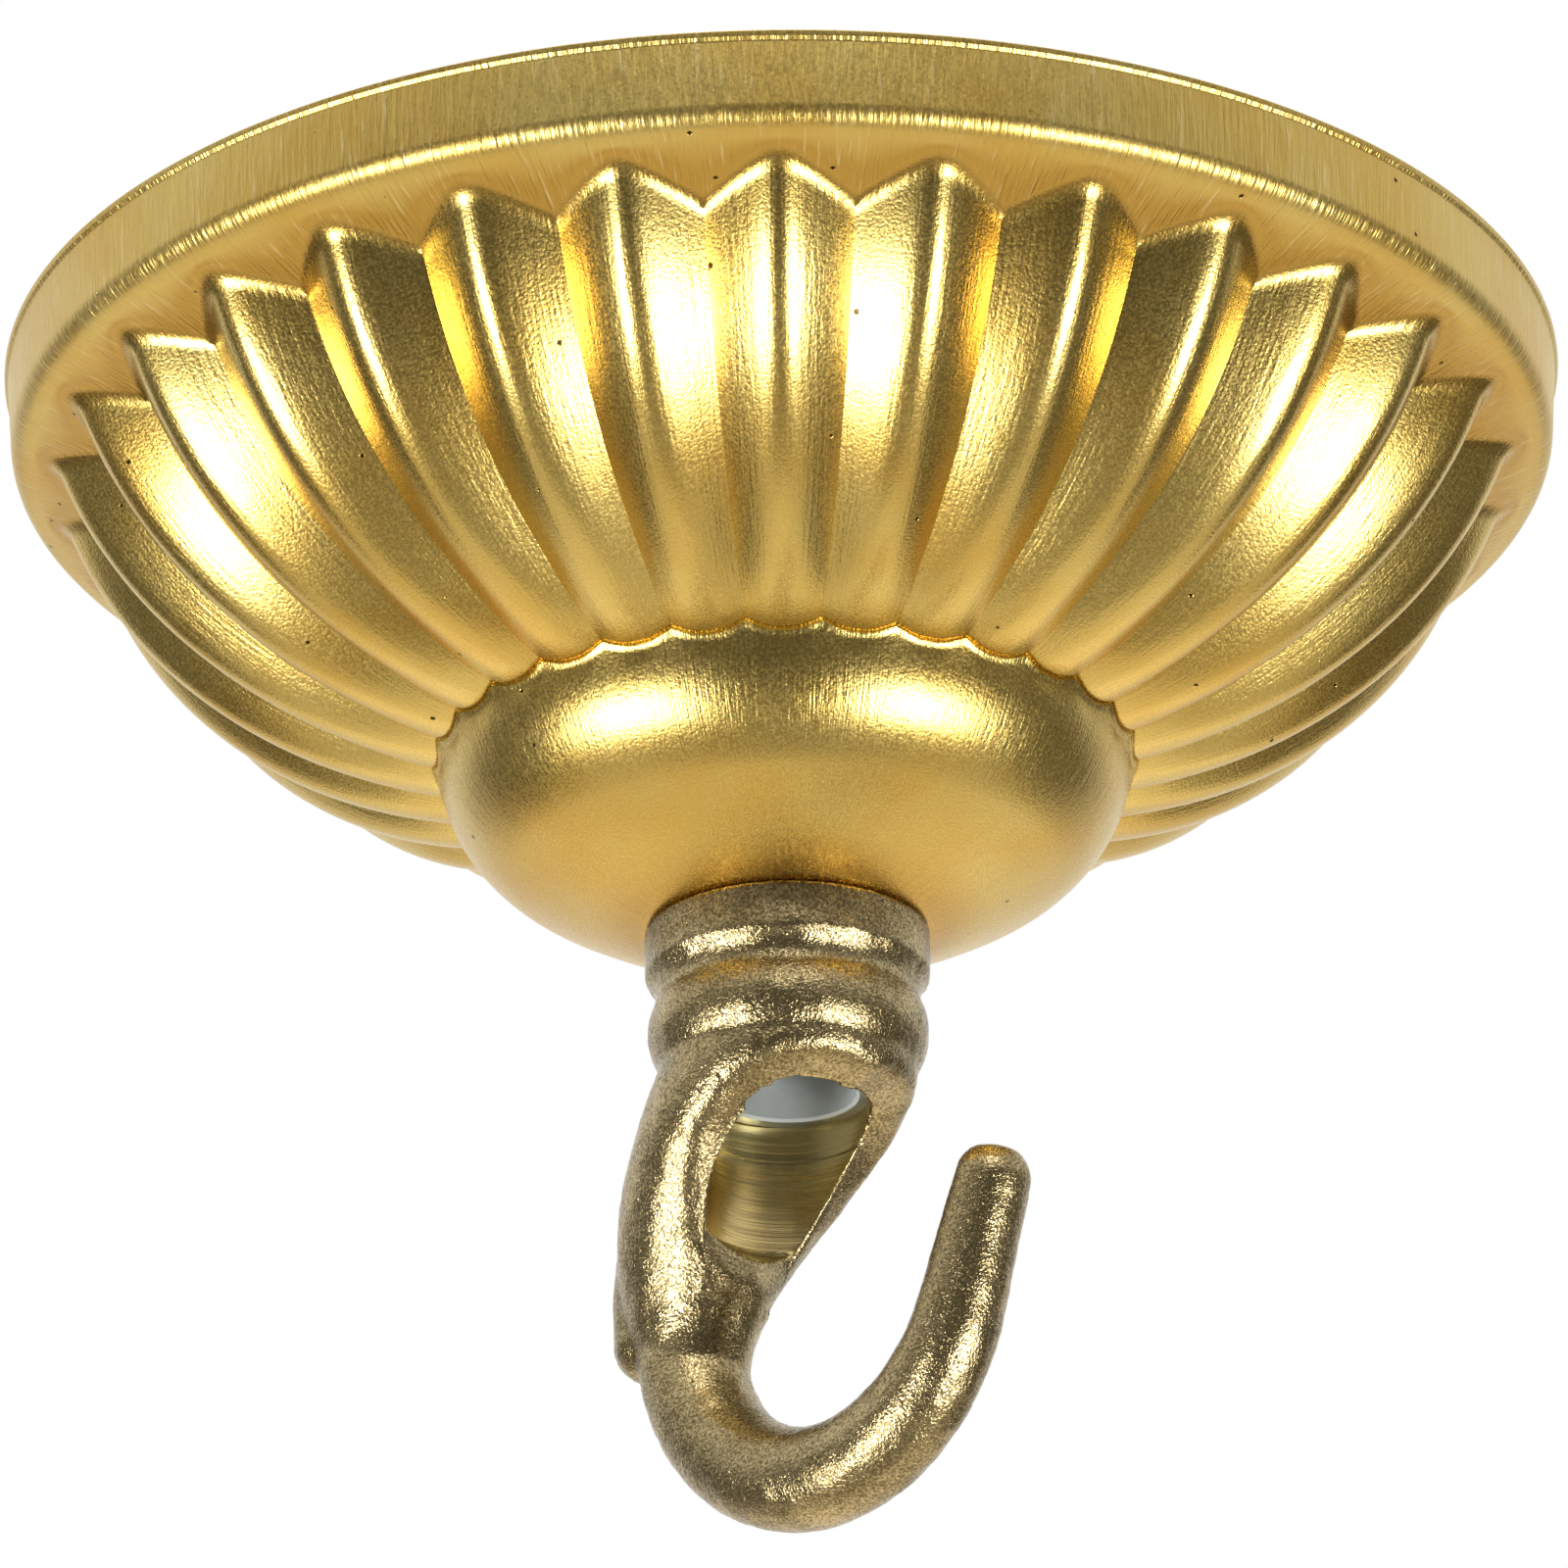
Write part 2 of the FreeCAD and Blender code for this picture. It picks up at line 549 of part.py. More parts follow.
def make_washer():
    """Plain washer on the canopy's inner face."""
    body = new_body("canopy_washer", "-dim.seat_depth + dim.sheet_thickness")
    sketch = new_sketch(body, "washer_section", "top")
    draw_circle(sketch, "dim.washer_radius")
    draw_circle(sketch, "dim.thread_radius + dim.hole_clearance")
    pad(body, "washer", sketch, "dim.washer_thickness")
    return body


def make_nut(label, level):
    """Thin hexagon nut whose lower face lies at a level."""
    body = new_body(label, level)
    sketch = new_sketch(body, f"{label}_section", "top")
    corner = "(dim.nut_flats / 2 / cos(30))"
    draw(sketch, [(f"{corner} * cos({turn})", f"{corner} * sin({turn})") for turn in range(0, 360, 60)])
    draw_circle(sketch, "dim.thread_radius + dim.thread_clearance")
    pad(body, f"{label}_hexagon", sketch, "dim.nut_height")
    return body


def make_strap():
    """Bar with four bends of 45 degrees: its ends lie on the ceiling, its lower middle holds the tube."""
    body = new_body("ceiling_strap")
    half, shoulder, drop = "dim.strap_half_length", "dim.strap_shoulder", "dim.strap_drop"
    thick, mitre = "dim.strap_thickness", "dim.strap_thickness * tan(45 / 2)"
    upper = [(half, "0"), (shoulder, "0"), (f"{shoulder} - {drop}", f"-{drop}")]
    lower = [(f"{shoulder} - {drop} + {mitre}", f"-{drop} - {thick}"), (f"{shoulder} + {mitre}", f"-{thick}"),
             (half, f"-{thick}")]
    sketch = new_sketch(body, "strap_section", "front")
    right = lower + upper
    left = [(f"-({x})", z) for x, z in right[::-1]]
    draw(sketch, right + left)
    pad(body, "strap_bar", sketch, "dim.strap_width", midplane=True)
    doc.recompute()

    sketch = new_sketch(body, "tube_hole_circle", "top")
    draw_circle(sketch, "dim.thread_radius + dim.hole_clearance")
    pocket(body, "tube_hole", sketch, "dim.strap_drop + 2 * dim.strap_thickness")
    for side in (1, -1):
        name = "slot_right" if side == 1 else "slot_left"
        sketch = new_sketch(body, f"{name}_outline", "top")
        near = f"{side} * (dim.slot_spacing - dim.slot_travel) / 2"
        far = f"{side} * (dim.slot_spacing + dim.slot_travel) / 2"
        draw_slot(sketch, near, far, "dim.slot_radius")
        pocket(body, name, sketch, "2 * dim.strap_thickness")
    doc.recompute()
    return body


def draw_slot(sketch, first, last, radius):
    """Slot along x between two round ends."""
    value = sketch.evalExpression
    low, high = sorted((first, last), key=value)
    right, left = [FreeCAD.Vector(value(x), 0, 0) for x in (high, low)]
    lift = FreeCAD.Vector(0, value(radius), 0)
    reach = FreeCAD.Vector(value(radius), 0, 0)
    shapes = [Part.Arc(right - lift, right + reach, right + lift),
              Part.LineSegment(right + lift, left + lift),
              Part.Arc(left + lift, left - reach, left - lift),
              Part.LineSegment(left - lift, right - lift)]
    edges = [sketch.addGeometry(shape) for shape in shapes]
    for number, edge in enumerate(edges):
        following = edges[(number + 1) % len(edges)]
        sketch.addConstraint(Sketcher.Constraint("Coincident", edge, 2, following, 1))
    for edge, middle in ((edges[0], high), (edges[2], low)):
        pin_point(sketch, edge, 3, middle, "0")
        bind(sketch, "Radius", edge, to=radius)
        bind(sketch, "DistanceX", -1, 1, edge, 1, to=middle)
        bind(sketch, "DistanceX", -1, 1, edge, 2, to=middle)


def check(pieces):
    """Stops the run if any object failed or any piece has no valid solid."""
    for thing in doc.Objects:
        if "Invalid" in thing.State or "Error" in thing.State:
            raise RuntimeError(f"{thing.Name} failed: {thing.State}")
    for piece in pieces:
        if piece.Shape.isNull() or not piece.Shape.isValid() or len(piece.Shape.Solids) != 1:
            raise RuntimeError(f"{piece.Label} has no valid single solid")


def main():
    make_sheet()
    strap_top = "-dim.strap_drop"
    strap_bottom = "-dim.strap_drop - dim.strap_thickness"
    pieces = [
        make_canopy(),
        make_hook(),
        make_tube(),
        make_washer(),
        make_nut("canopy_nut", "-dim.seat_depth + dim.sheet_thickness + dim.washer_thickness"),
        make_strap(),
        make_nut("strap_nut_lower", f"{strap_bottom} - dim.nut_height"),
        make_nut("strap_nut_upper", strap_top),
    ]
    doc.recompute()
    check(pieces)
    os.makedirs("parts", exist_ok=True)
    for piece in pieces:
        piece.Shape.exportStep(f"parts/{piece.Label}.step")
        print(f"{piece.Label}: {piece.Shape.Volume:.1f} mm3, {len(piece.Shape.Faces)} faces")


main()
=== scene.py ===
"""Looks of the ceiling hook: a pressed, fluted brass canopy, a cast brass hook and the fixings behind them.

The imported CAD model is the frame. Everything is in metres in its axes: z = 0 is the ceiling, and the hook
hangs towards -Z.
"""
import math

import bpy
import numpy as np
from mathutils import Matrix, Vector, noise


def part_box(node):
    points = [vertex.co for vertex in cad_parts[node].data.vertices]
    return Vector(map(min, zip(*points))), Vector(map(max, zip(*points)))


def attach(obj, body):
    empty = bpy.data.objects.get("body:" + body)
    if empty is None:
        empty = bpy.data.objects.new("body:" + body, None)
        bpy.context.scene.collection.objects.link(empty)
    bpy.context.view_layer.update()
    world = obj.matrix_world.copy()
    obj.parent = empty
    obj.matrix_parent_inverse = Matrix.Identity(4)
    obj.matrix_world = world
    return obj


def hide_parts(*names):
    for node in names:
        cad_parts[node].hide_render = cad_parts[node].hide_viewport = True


bl_info = {
    "name": "Ceiling hook",
    "version": (1, 0, 0),
    "blender": (4, 5, 0),
    "location": "3D View > Sidebar > Ceiling hook",
    "description": "Builds the looks of a fluted brass ceiling hook around its CAD frame",
    "category": "Object",
}

MM = 0.001
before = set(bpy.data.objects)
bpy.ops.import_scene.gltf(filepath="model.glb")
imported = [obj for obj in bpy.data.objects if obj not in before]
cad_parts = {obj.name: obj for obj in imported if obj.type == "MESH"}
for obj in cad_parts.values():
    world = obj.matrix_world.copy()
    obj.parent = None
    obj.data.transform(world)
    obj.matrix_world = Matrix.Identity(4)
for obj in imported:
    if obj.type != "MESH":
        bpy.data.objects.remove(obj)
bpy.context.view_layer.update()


def size(name, millimetres, description):
    """A length that a user may change."""
    return bpy.props.FloatProperty(name=name, description=description, default=millimetres * MM,
                                   subtype="DISTANCE", unit="LENGTH", precision=5)


def angle(name, degrees, description):
    """An angle that a user may change."""
    return bpy.props.FloatProperty(name=name, description=description, default=math.radians(degrees),
                                   subtype="ANGLE", unit="ROTATION")


def linear(code):
    """Linear colour with alpha from an sRGB hex value."""
    parts = [int(code[at:at + 2], 16) / 255 for at in (1, 3, 5)]
    return [p / 12.92 if p <= 0.04045 else ((p + 0.055) / 1.055) ** 2.4 for p in parts] + [1.0]


def colour(name, code, description):
    """A colour that a user may change."""
    return bpy.props.FloatVectorProperty(name=name, description=description, default=linear(code),
                                         subtype="COLOR", size=4, min=0, max=1)


class CanopySizes(bpy.types.PropertyGroup):
    """The pressed canopy."""
    rim_radius: size("Rim radius", 42.5, "Outer radius at the ceiling")
    rim_depth: size("Rim depth", 4.7, "Height of the rim wall")
    rim_taper: size("Rim taper", 0.5, "How far the rim wall leans in")
    rim_corner: size("Rim corner", 1.3, "Rounding between the rim wall and the field")
    rim_lip: size("Rim lip", 0.3, "Height of the thin lip at the ceiling")
    lip_proud: size("Lip step", 0.22, "How far the lip stands out from the rim wall")
    field_slope: angle("Field slope", 23, "How steeply the field falls towards the flutes")
    sheet: size("Sheet", 0.8, "Thickness of the brass sheet")
    flute_count: bpy.props.IntProperty(name="Flutes", description="Flutes round the bowl", default=30, min=3)
    flute_half_angle: angle("Flute half angle", 58.5, "From a flute's middle plane to its flank")
    ridge_radius: size("Ridge radius", 27.9, "Arc along a flute's ridge")
    ridge_out: size("Ridge centre out", 14.0, "Centre of the ridge's arc, out from the axis")
    ridge_up: size("Ridge centre up", 4.9, "Centre of the ridge's arc, above the ceiling")
    valley_radius: size("Valley radius", 26.2, "Arc along a flute's valley")
    valley_out: size("Valley centre out", 13.0, "Centre of the valley's arc, out from the axis")
    valley_up: size("Valley centre up", 4.0, "Centre of the valley's arc, above the ceiling")
    ridge_soft: size("Ridge softness", 0.15, "How softly a flute's flanks run into its ridge")
    ridge_round: angle("Ridge rounding", 1.5, "Half the turn over which a ridge is rounded")
    foot_round: angle("Foot rounding", 2.0, "How much more the ridges are rounded at the dome")
    shoulder: size("Flute shoulder", 0.9, "Reach of the fillet where a flute's outer end meets the field")
    foot_fill: bpy.props.FloatProperty(name="Foot fill", default=0.6, min=0, max=1, subtype="FACTOR",
                                       description="How far the valleys are filled at the dome")
    foot_reach: size("Foot reach", 4.0, "How far from the dome that filling reaches")
    dome_groove: size("Dome groove", 0.1, "Depth of the line between the flutes and the dome")
    dome_bead: size("Dome bead", 0.1, "How far the dome's scalloped edge stands proud")
    dome_radius: size("Dome radius", 18.8, "Widest radius of the plain dome")
    dome_depth: size("Dome depth", 21.4, "Level of the dome's widest line")
    dome_side: size("Dome side", 8.4, "Radius of the dome's side")
    dome_crown: size("Dome crown", 44, "Radius of the dome's underside")
    seat_radius: size("Seat radius", 7.4, "Flat under the hook's collar")
    seat_depth: size("Seat depth", 32, "Level of that flat")
    hole_radius: size("Hole radius", 5.25, "Hole for the threaded tube")


class HookSizes(bpy.types.PropertyGroup):
    """The cast hook."""
    voxel: size("Voxel", 0.172, "Grid on which the casting's skin is rebuilt")
    soften: bpy.props.IntProperty(name="Softening", default=5,
                                  description="Smoothing passes over the cast skin")
    lump: size("Lumps", 0.05, "Height of the sand's lumps on the cast skin")
    lump_width: size("Lump width", 1.3, "Width of those lumps")
    bore_radius: size("Bore radius", 4.5, "Drilled bore")
    tap_radius: size("Tapped radius", 5.05, "Tapped bore")
    bore_depth: size("Bore depth", 20, "How far the machined bore reaches below the collar")
    drilled_in: size("Drilled wall", 0.23, "How far the drilled wall stands inside the CAD's bore")
    thread_in: size("Thread crests", 0.6, "How far the thread's crests stand inside the CAD's tapped bore")
    bore_off: size("Bore offset", -0.2, "How far the bore was drilled off the collar's axis, towards +X")
    bore_open: size("Open bore", 8.0, "Depth under which the bore shows")
    bore_ease: size("Bore ease", 1.5, "Depth over which the bore narrows to its drilled size")


class FixingSizes(bpy.types.PropertyGroup):
    """Tube, nuts, washer and strap."""
    pitch: size("Thread pitch", 1.0, "Pitch of the M10 lamp thread")
    thread_depth: size("Thread depth", 0.55, "From a thread's crest to its root")
    tube_bore: size("Tube bore", 3.6, "Way for the cable")
    end_chamfer: size("End chamfer", 0.5, "Chamfer of the tube's ends and the nuts' bores")
    nut_flats: size("Nut flats", 14, "Nut, across its flats")
    nut_bore: size("Nut bore", 5.03, "Radius of a nut's thread at the tube")
    washer_bore: size("Washer bore", 5.25, "Radius of the washer's hole")
    edge: size("Edge", 0.25, "Rounded edges of washer and strap")


class Finishes(bpy.types.PropertyGroup):
    """Colours of the metals."""
    brass: colour("Pressed brass", "#CEB468", "Clean satin brass sheet")
    brass_warm: colour("Warm brass", "#CAA754", "Brass sheet where it has warmed in the press")
    # Painted shade and painted warm reflection for the corners at the flutes' ends and round the collar
    painted_corner_shade: colour("Painted corner shade", "#BB974B", "Brass sheet in its hollow corners")
    scratch: colour("Scratches", "#EFDFAC", "Bare metal in the brushed hairlines")
    pit: colour("Pits", "#3B2C14", "Pits in the sheet")
    cast_light: colour("Cast brass", "#C0AD80", "Tumbled grains of the casting")
    cast_dark: colour("Cast brass, dark", "#716343", "Oxide between the grains")
    cast_pit: colour("Cast pits", "#3A2E1A", "Oxide in the casting's pits")
    machined: colour("Machined brass", "#DCC588", "Drilled bore")
    zinc: colour("Zinc", "#B4BCBD", "Zinc plate")
    zinc_pale: colour("Zinc, pale", "#C4CCCD", "Matt zinc inside the tube")
    zinc_dark: colour("Zinc, dull", "#7E878A", "Duller crystals of the zinc plate")


# Meshes

def ring_mesh(name, rings):
    """A closed skin. rings[row, turn] are points; rows run round the section, turns round the axis."""
    rows, turns = rings.shape[:2]
    index = np.arange(rows * turns).reshape(rows, turns)
    below = np.roll(index, -1, axis=0)
    beside = np.roll(index, -1, axis=1)
    faces = np.stack([index, beside, np.roll(below, -1, axis=1), below], axis=-1).reshape(-1, 4)
    points = rings.reshape(-1, 3)
    a, b, c, d = (points[faces[:, k]] for k in range(4))
    volume = np.einsum("ij,ij->", a, np.cross(b, c)) + np.einsum("ij,ij->", a, np.cross(c, d))
    if volume < 0:
        faces = faces[:, ::-1]
    mesh = bpy.data.meshes.new(name)
    mesh.from_pydata(points.tolist(), [], faces.tolist())
    mesh.shade_smooth()
    mesh.set_sharp_from_angle(angle=math.radians(38))
    return mesh


def turned(outs, ups, turns):
    """Rings from distances and levels, each (row, turn), at the given turns about the axis."""
    return np.stack([outs * np.cos(turns), outs * np.sin(turns), ups], axis=-1)


def rounded(corners, radii, steps=6):
    """A polyline through corners, rounded off by a radius at each inner corner."""
    path = [np.array(corners[0])]
    for before, here, after, radius in zip(corners, corners[1:], corners[2:], radii):
        here = np.array(here)
        back = (np.array(before) - here) / np.linalg.norm(np.array(before) - here)
        ahead = (np.array(after) - here) / np.linalg.norm(np.array(after) - here)
        half = math.acos(np.clip(back @ ahead, -1, 1)) / 2
        if radius == 0 or half > math.radians(89):
            path.append(here)
            continue
        middle = here + (back + ahead) / np.linalg.norm(back + ahead) * radius / math.sin(half)
        start, end = here + back * radius / math.tan(half), here + ahead * radius / math.tan(half)
        sweep = math.pi - 2 * half
        for part in np.linspace(0, 1, steps + 1):
            arm = (math.sin((1 - part) * sweep) * (start - middle) + math.sin(part * sweep) * (end - middle))
            path.append(middle + arm / math.sin(sweep))
    path.append(np.array(corners[-1]))
    return np.array(path)


def halve(low, high, below):
    """Where below(value) turns from True to False, for every column at once."""
    for _ in range(40):
        middle = (low + high) / 2
        under = below(middle)
        low, high = np.where(under, middle, low), np.where(under, high, middle)
    return (low + high) / 2


def place(piece_name, mesh, material, slot, *nodes):
    """Puts a mesh in the scene as the piece that stands for CAD nodes."""
    piece = bpy.data.objects.new(piece_name, mesh)
    bpy.context.scene.collection.objects.link(piece)
    if material:
        mesh.materials.append(material)
    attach(piece, "root")
    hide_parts(*nodes)
    return piece


def canopy_face(s, phase, skin, bead):
    """One face of the sheet, moved in by skin: distances and levels, (row, turn), from rim to hole.

    The third result is how many of those rows are rim and field."""
    half_angle = s.flute_half_angle
    pitch = math.pi / s.flute_count
    valley = s.valley_radius - skin / math.sin(half_angle)
    ridge = s.ridge_radius - skin
    rim = s.rim_radius - skin
    field_edge = rim - s.rim_taper
    slope = math.tan(s.field_slope)
    field_level = -s.rim_depth + skin / math.cos(s.field_slope)
    apart = np.array([s.ridge_out - s.valley_out, s.ridge_up - s.valley_up])
    # The die is worn towards the dome, from this angle off straight down and over that much turn
    worn_from, worn_over = math.radians(42), math.radians(30)

    def flute(swing, proud=0.0, fill=0.0, phase=phase):
        """Distance and level on a flute at an angle from straight down, about the valley's centre."""
        worn = np.clip((worn_from - swing) / worn_over, 0, 1)
        blunt = s.ridge_round + s.foot_round * worn
        full = pitch / (np.hypot(pitch, blunt) - blunt)
        off_valley = (np.hypot(pitch, blunt) - np.hypot(phase, blunt)) * (1 + (full - 1) * worn)
        lean = np.tan(off_valley) / math.tan(half_angle)
        flank = (valley + s.valley_out * lean) / (1 - lean * np.sin(swing))
        along = np.sin(swing) * apart[0] - np.cos(swing) * apart[1]
        crest = along + np.sqrt(along ** 2 - apart @ apart + ridge ** 2)
        soft = s.ridge_soft
        reach = -soft * np.logaddexp(-flank / soft, -crest / soft) + proud
        out = (s.valley_out + reach * np.sin(swing)) / np.cos(off_valley)
        up = s.valley_up - reach * np.cos(swing)
        if np.any(fill):
            ridge_out, ridge_up = flute(swing, proud, phase=0 * phase)
            out, up = out + fill * (ridge_out - out), up + fill * (ridge_up - up)
        return out, up

    def under_field(swing):
        out, up = flute(swing)
        return up < field_level - (field_edge - out) * slope

    side = s.dome_side - skin
    side_out = s.dome_radius - skin - side

    def inside_dome(swing):
        out, up = flute(swing)
        drop = np.clip(-s.dome_depth - up, 0, side)
        return out < side_out + np.sqrt(side ** 2 - drop ** 2)

    zero = np.zeros_like(phase)
    top = halve(zero + math.radians(30), zero + math.radians(89), under_field)
    foot = halve(zero + math.radians(4), zero + math.radians(45), inside_dome)

    # Rim: over the lip, down the wall and round on to the field. The inner face has no lip
    lip_width, lip_draft, lip_step, stub = 0.3 * MM, 0.07 * MM, 0.2 * MM, 1.2 * MM
    corners = [(rim - s.lip_proud - lip_width, 0), (rim, 0), (rim - lip_draft, -s.rim_lip),
               (rim - s.lip_proud, -s.rim_lip - lip_step), (field_edge, field_level),
               (field_edge - stub, field_level - stub * slope)]
    if bead:
        rim_path = rounded(corners, [0.05 * MM, 0.1 * MM, 0.2 * MM, s.rim_corner])
    else:
        rim_path = np.delete(corners, [0, 2, 3], 0)
    outs = [zero + point[0] for point in rim_path]
    ups = [zero + point[1] for point in rim_path]

    # Field, then a fillet up to the flute's end, from a point on the field to one on the flute
    top_out, top_up = flute(top)
    start = np.array([top_out + s.shoulder * math.cos(s.field_slope),
                      top_up + s.shoulder * math.sin(s.field_slope)])
    corner = np.array([top_out, top_up])
    end = np.array(flute(top - s.shoulder / valley))
    for part in np.linspace(0, 1, 6)[1:-1]:
        outs.append(rim_path[-1][0] * (1 - part) + start[0] * part)
        ups.append(rim_path[-1][1] * (1 - part) + start[1] * part)
    for part in np.linspace(0, 1, 10):
        fillet = (1 - part) ** 2 * start + 2 * part * (1 - part) * corner + part ** 2 * end
        outs.append(fillet[0])
        ups.append(fillet[1])

    # Down a flute. Its valley fills towards the dome, and ends in a thin groove
    length = (top - foot) * valley
    groove_width, bead_at, bead_width, blend = 0.16 * MM, 0.22 * MM, 0.14 * MM, 0.8 * MM
    close = np.array([0.0, 0.06, 0.12, 0.2, 0.3, 0.42, 0.6, 0.85, 1.2]) * MM
    steps = [s.shoulder + (length - s.shoulder - close[-1]) * part for part in np.linspace(0, 1, 30)[1:]]
    steps += [length - distance for distance in close[-2::-1]]
    for distance in steps:
        left = length - distance
        fill = s.foot_fill * np.exp(-(left / s.foot_reach) ** 2)
        groove = s.dome_groove * bead * np.exp(-(left / groove_width) ** 2)
        out, up = flute(top - distance / valley, -groove, fill)
        outs.append(out)
        ups.append(up)

    # Dome: its scalloped edge has a bead, then the side runs into the flatter crown
    foot_out, foot_up = outs[-1], ups[-1]
    begin = np.arctan2(-s.dome_depth - foot_up, foot_out - side_out)
    foot_gap = np.hypot(-s.dome_depth - foot_up, foot_out - side_out) - side
    crown = s.dome_crown - skin
    seat = np.array([s.seat_radius, -s.seat_depth + skin])
    reach = np.array([side_out, -s.dome_depth]) - seat
    far = np.linalg.norm(reach)
    along = (crown ** 2 - (crown - side) ** 2 + far ** 2) / (2 * far)
    aside = math.sqrt(crown ** 2 - along ** 2)
    direction = reach / far
    across = np.array([-direction[1], direction[0]]) * aside
    middle = max((seat + direction * along + across * sign for sign in (1, -1)), key=lambda point: point[1])
    meet = math.atan2(middle[1] + s.dome_depth, side_out - middle[0])
    last = math.atan2(middle[1] - seat[1], seat[0] - middle[0])
    runs = [zero + distance for distance in close]
    runs += [close[-1] + ((meet - begin) * side - close[-1]) * part for part in np.linspace(0, 1, 22)[1:]]
    for distance in runs[1:]:
        proud = s.dome_bead * bead * np.exp(-((distance - bead_at) / bead_width) ** 2)
        proud = proud + foot_gap * np.exp(-(distance / blend) ** 2)
        turn = begin + distance / side
        outs.append(side_out + (side + proud) * np.cos(turn))
        ups.append(-s.dome_depth - (side + proud) * np.sin(turn))
    for turn in np.linspace(meet, last, 14)[1:]:
        outs.append(zero + middle[0] + crown * math.cos(turn))
        ups.append(zero + middle[1] - crown * math.sin(turn))
    outs.append(zero + s.hole_radius)
    ups.append(zero + seat[1])
    return np.array(outs), np.array(ups), len(rim_path) + 4


class CEILINGHOOK_OT_canopy(bpy.types.Operator):
    """Pressed canopy: rim, field, flutes and dome, both faces of the sheet"""
    bl_idname = "ceiling_hook.canopy"
    bl_label = "Pressed canopy"

    def execute(self, context):
        s = context.scene.ceiling_hook_canopy
        half = math.pi / s.flute_count
        # Steps across half a flute, closer at its ridge and at its valley
        share = np.array([0, 0.05, 0.1, 0.16, 0.25, 0.4, 0.6, 0.8, 0.93, 1])
        phase = np.concatenate([-share[:0:-1], share[:-1]]) * half
        phases = np.tile(phase, s.flute_count)
        turns = np.concatenate([phase + 2 * half * n for n in range(s.flute_count)]) - math.pi / 2
        outs, ups, brushed = canopy_face(s, phases, 0.0, 1.0)
        inner_outs, inner_ups, _ = canopy_face(s, phases, s.sheet, 0.0)
        # The inner face makes do with every other row
        keep = np.r_[0, 1:len(inner_outs):2]
        outs = np.concatenate([outs, inner_outs[keep][::-1]])
        ups = np.concatenate([ups, inner_ups[keep][::-1]])
        mesh = ring_mesh("canopy_skin", turned(outs, ups, turns))
        rows = np.arange(len(outs))[:, None] + np.zeros(len(turns))
        # Rim and field are brushed, as far as the flutes' ends
        brushing = mesh.attributes.new("brushing", "FLOAT", "POINT")
        brushing.data.foreach_set("value", np.clip((brushed + 3 - rows) / 4, 0, 1).ravel().astype(np.float32))
        # Painted shade: a darker, warmer gold in the corner at the flutes' ends and round the hook's collar,
        # for the shade and warm reflections that gather there
        painted_shade = np.interp(rows, brushed + np.array([-5, -2, 3, 8]), (0, 1, 1, 0))
        painted_shade = np.maximum(painted_shade, np.interp(outs, np.array([8.5, 11]) * MM, (1, 0)))
        painted_corner_shade = mesh.attributes.new("painted_corner_shade", "FLOAT", "POINT")
        painted_corner_shade.data.foreach_set("value", painted_shade.ravel().astype(np.float32))
        brass = pressed_brass(context.scene.ceiling_hook_finish)
        place("canopy_sheet", mesh, brass, "pressed_brass", "canopy")
        return {"FINISHED"}


class CEILINGHOOK_OT_hook(bpy.types.Operator):
    """Cast hook: the CAD form with the soft, lumpy skin of a casting and a clean machined bore"""
    bl_idname = "ceiling_hook.hook"
    bl_label = "Cast hook"

    def execute(self, context):
        s = context.scene.ceiling_hook_hook
        finish = context.scene.ceiling_hook_finish
        rough = bpy.data.objects.new("hook_rough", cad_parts["hook"].data.copy())
        context.scene.collection.objects.link(rough)
        remesh = rough.modifiers.new("skin", "REMESH")
        remesh.mode = "VOXEL"
        remesh.voxel_size = s.voxel
        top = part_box("hook")[1].z
        smooth = rough.modifiers.new("soften", "SMOOTH")
        smooth.factor = 0.5
        smooth.iterations = s.soften
        mesh = apply_modifiers(rough)
        mesh.name = "hook_skin"
        bpy.data.objects.remove(rough)
        # The bore and the collar's face were machined, so they have no lumps
        bore_edge, collar_face = s.tap_radius + 0.35 * MM, top - 0.4 * MM
        # The lumps' noise: how its layers weaken, how much finer each is, how many there are, and its mean
        weaken, finer, layers, mean = 0.8, 2.2, 3, 0.4
        moves = []
        for vertex in mesh.vertices:
            out = math.hypot(vertex.co.x, vertex.co.y)
            near_bore = out < bore_edge and vertex.co.z > top - s.bore_depth
            weight = 0.0 if near_bore or vertex.co.z > collar_face else 1.0
            swell = noise.fractal(vertex.co / s.lump_width, weaken, finer, layers) - mean
            moves.append(vertex.normal * s.lump * weight * swell)
        for vertex, move in zip(mesh.vertices, moves):
            vertex.co += move
        narrow_bore(s, mesh, top)
        mesh.shade_smooth()
        mesh.materials.clear()
        mesh.materials.append(cast_brass(finish))
        mesh.materials.append(machined_brass(finish))
        for face in mesh.polygons:
            face.material_index = 1 if in_bore(s, face.center, face.normal, top) else 0
        place("hook_casting", mesh, None, "cast_brass", "hook")
        return {"FINISHED"}


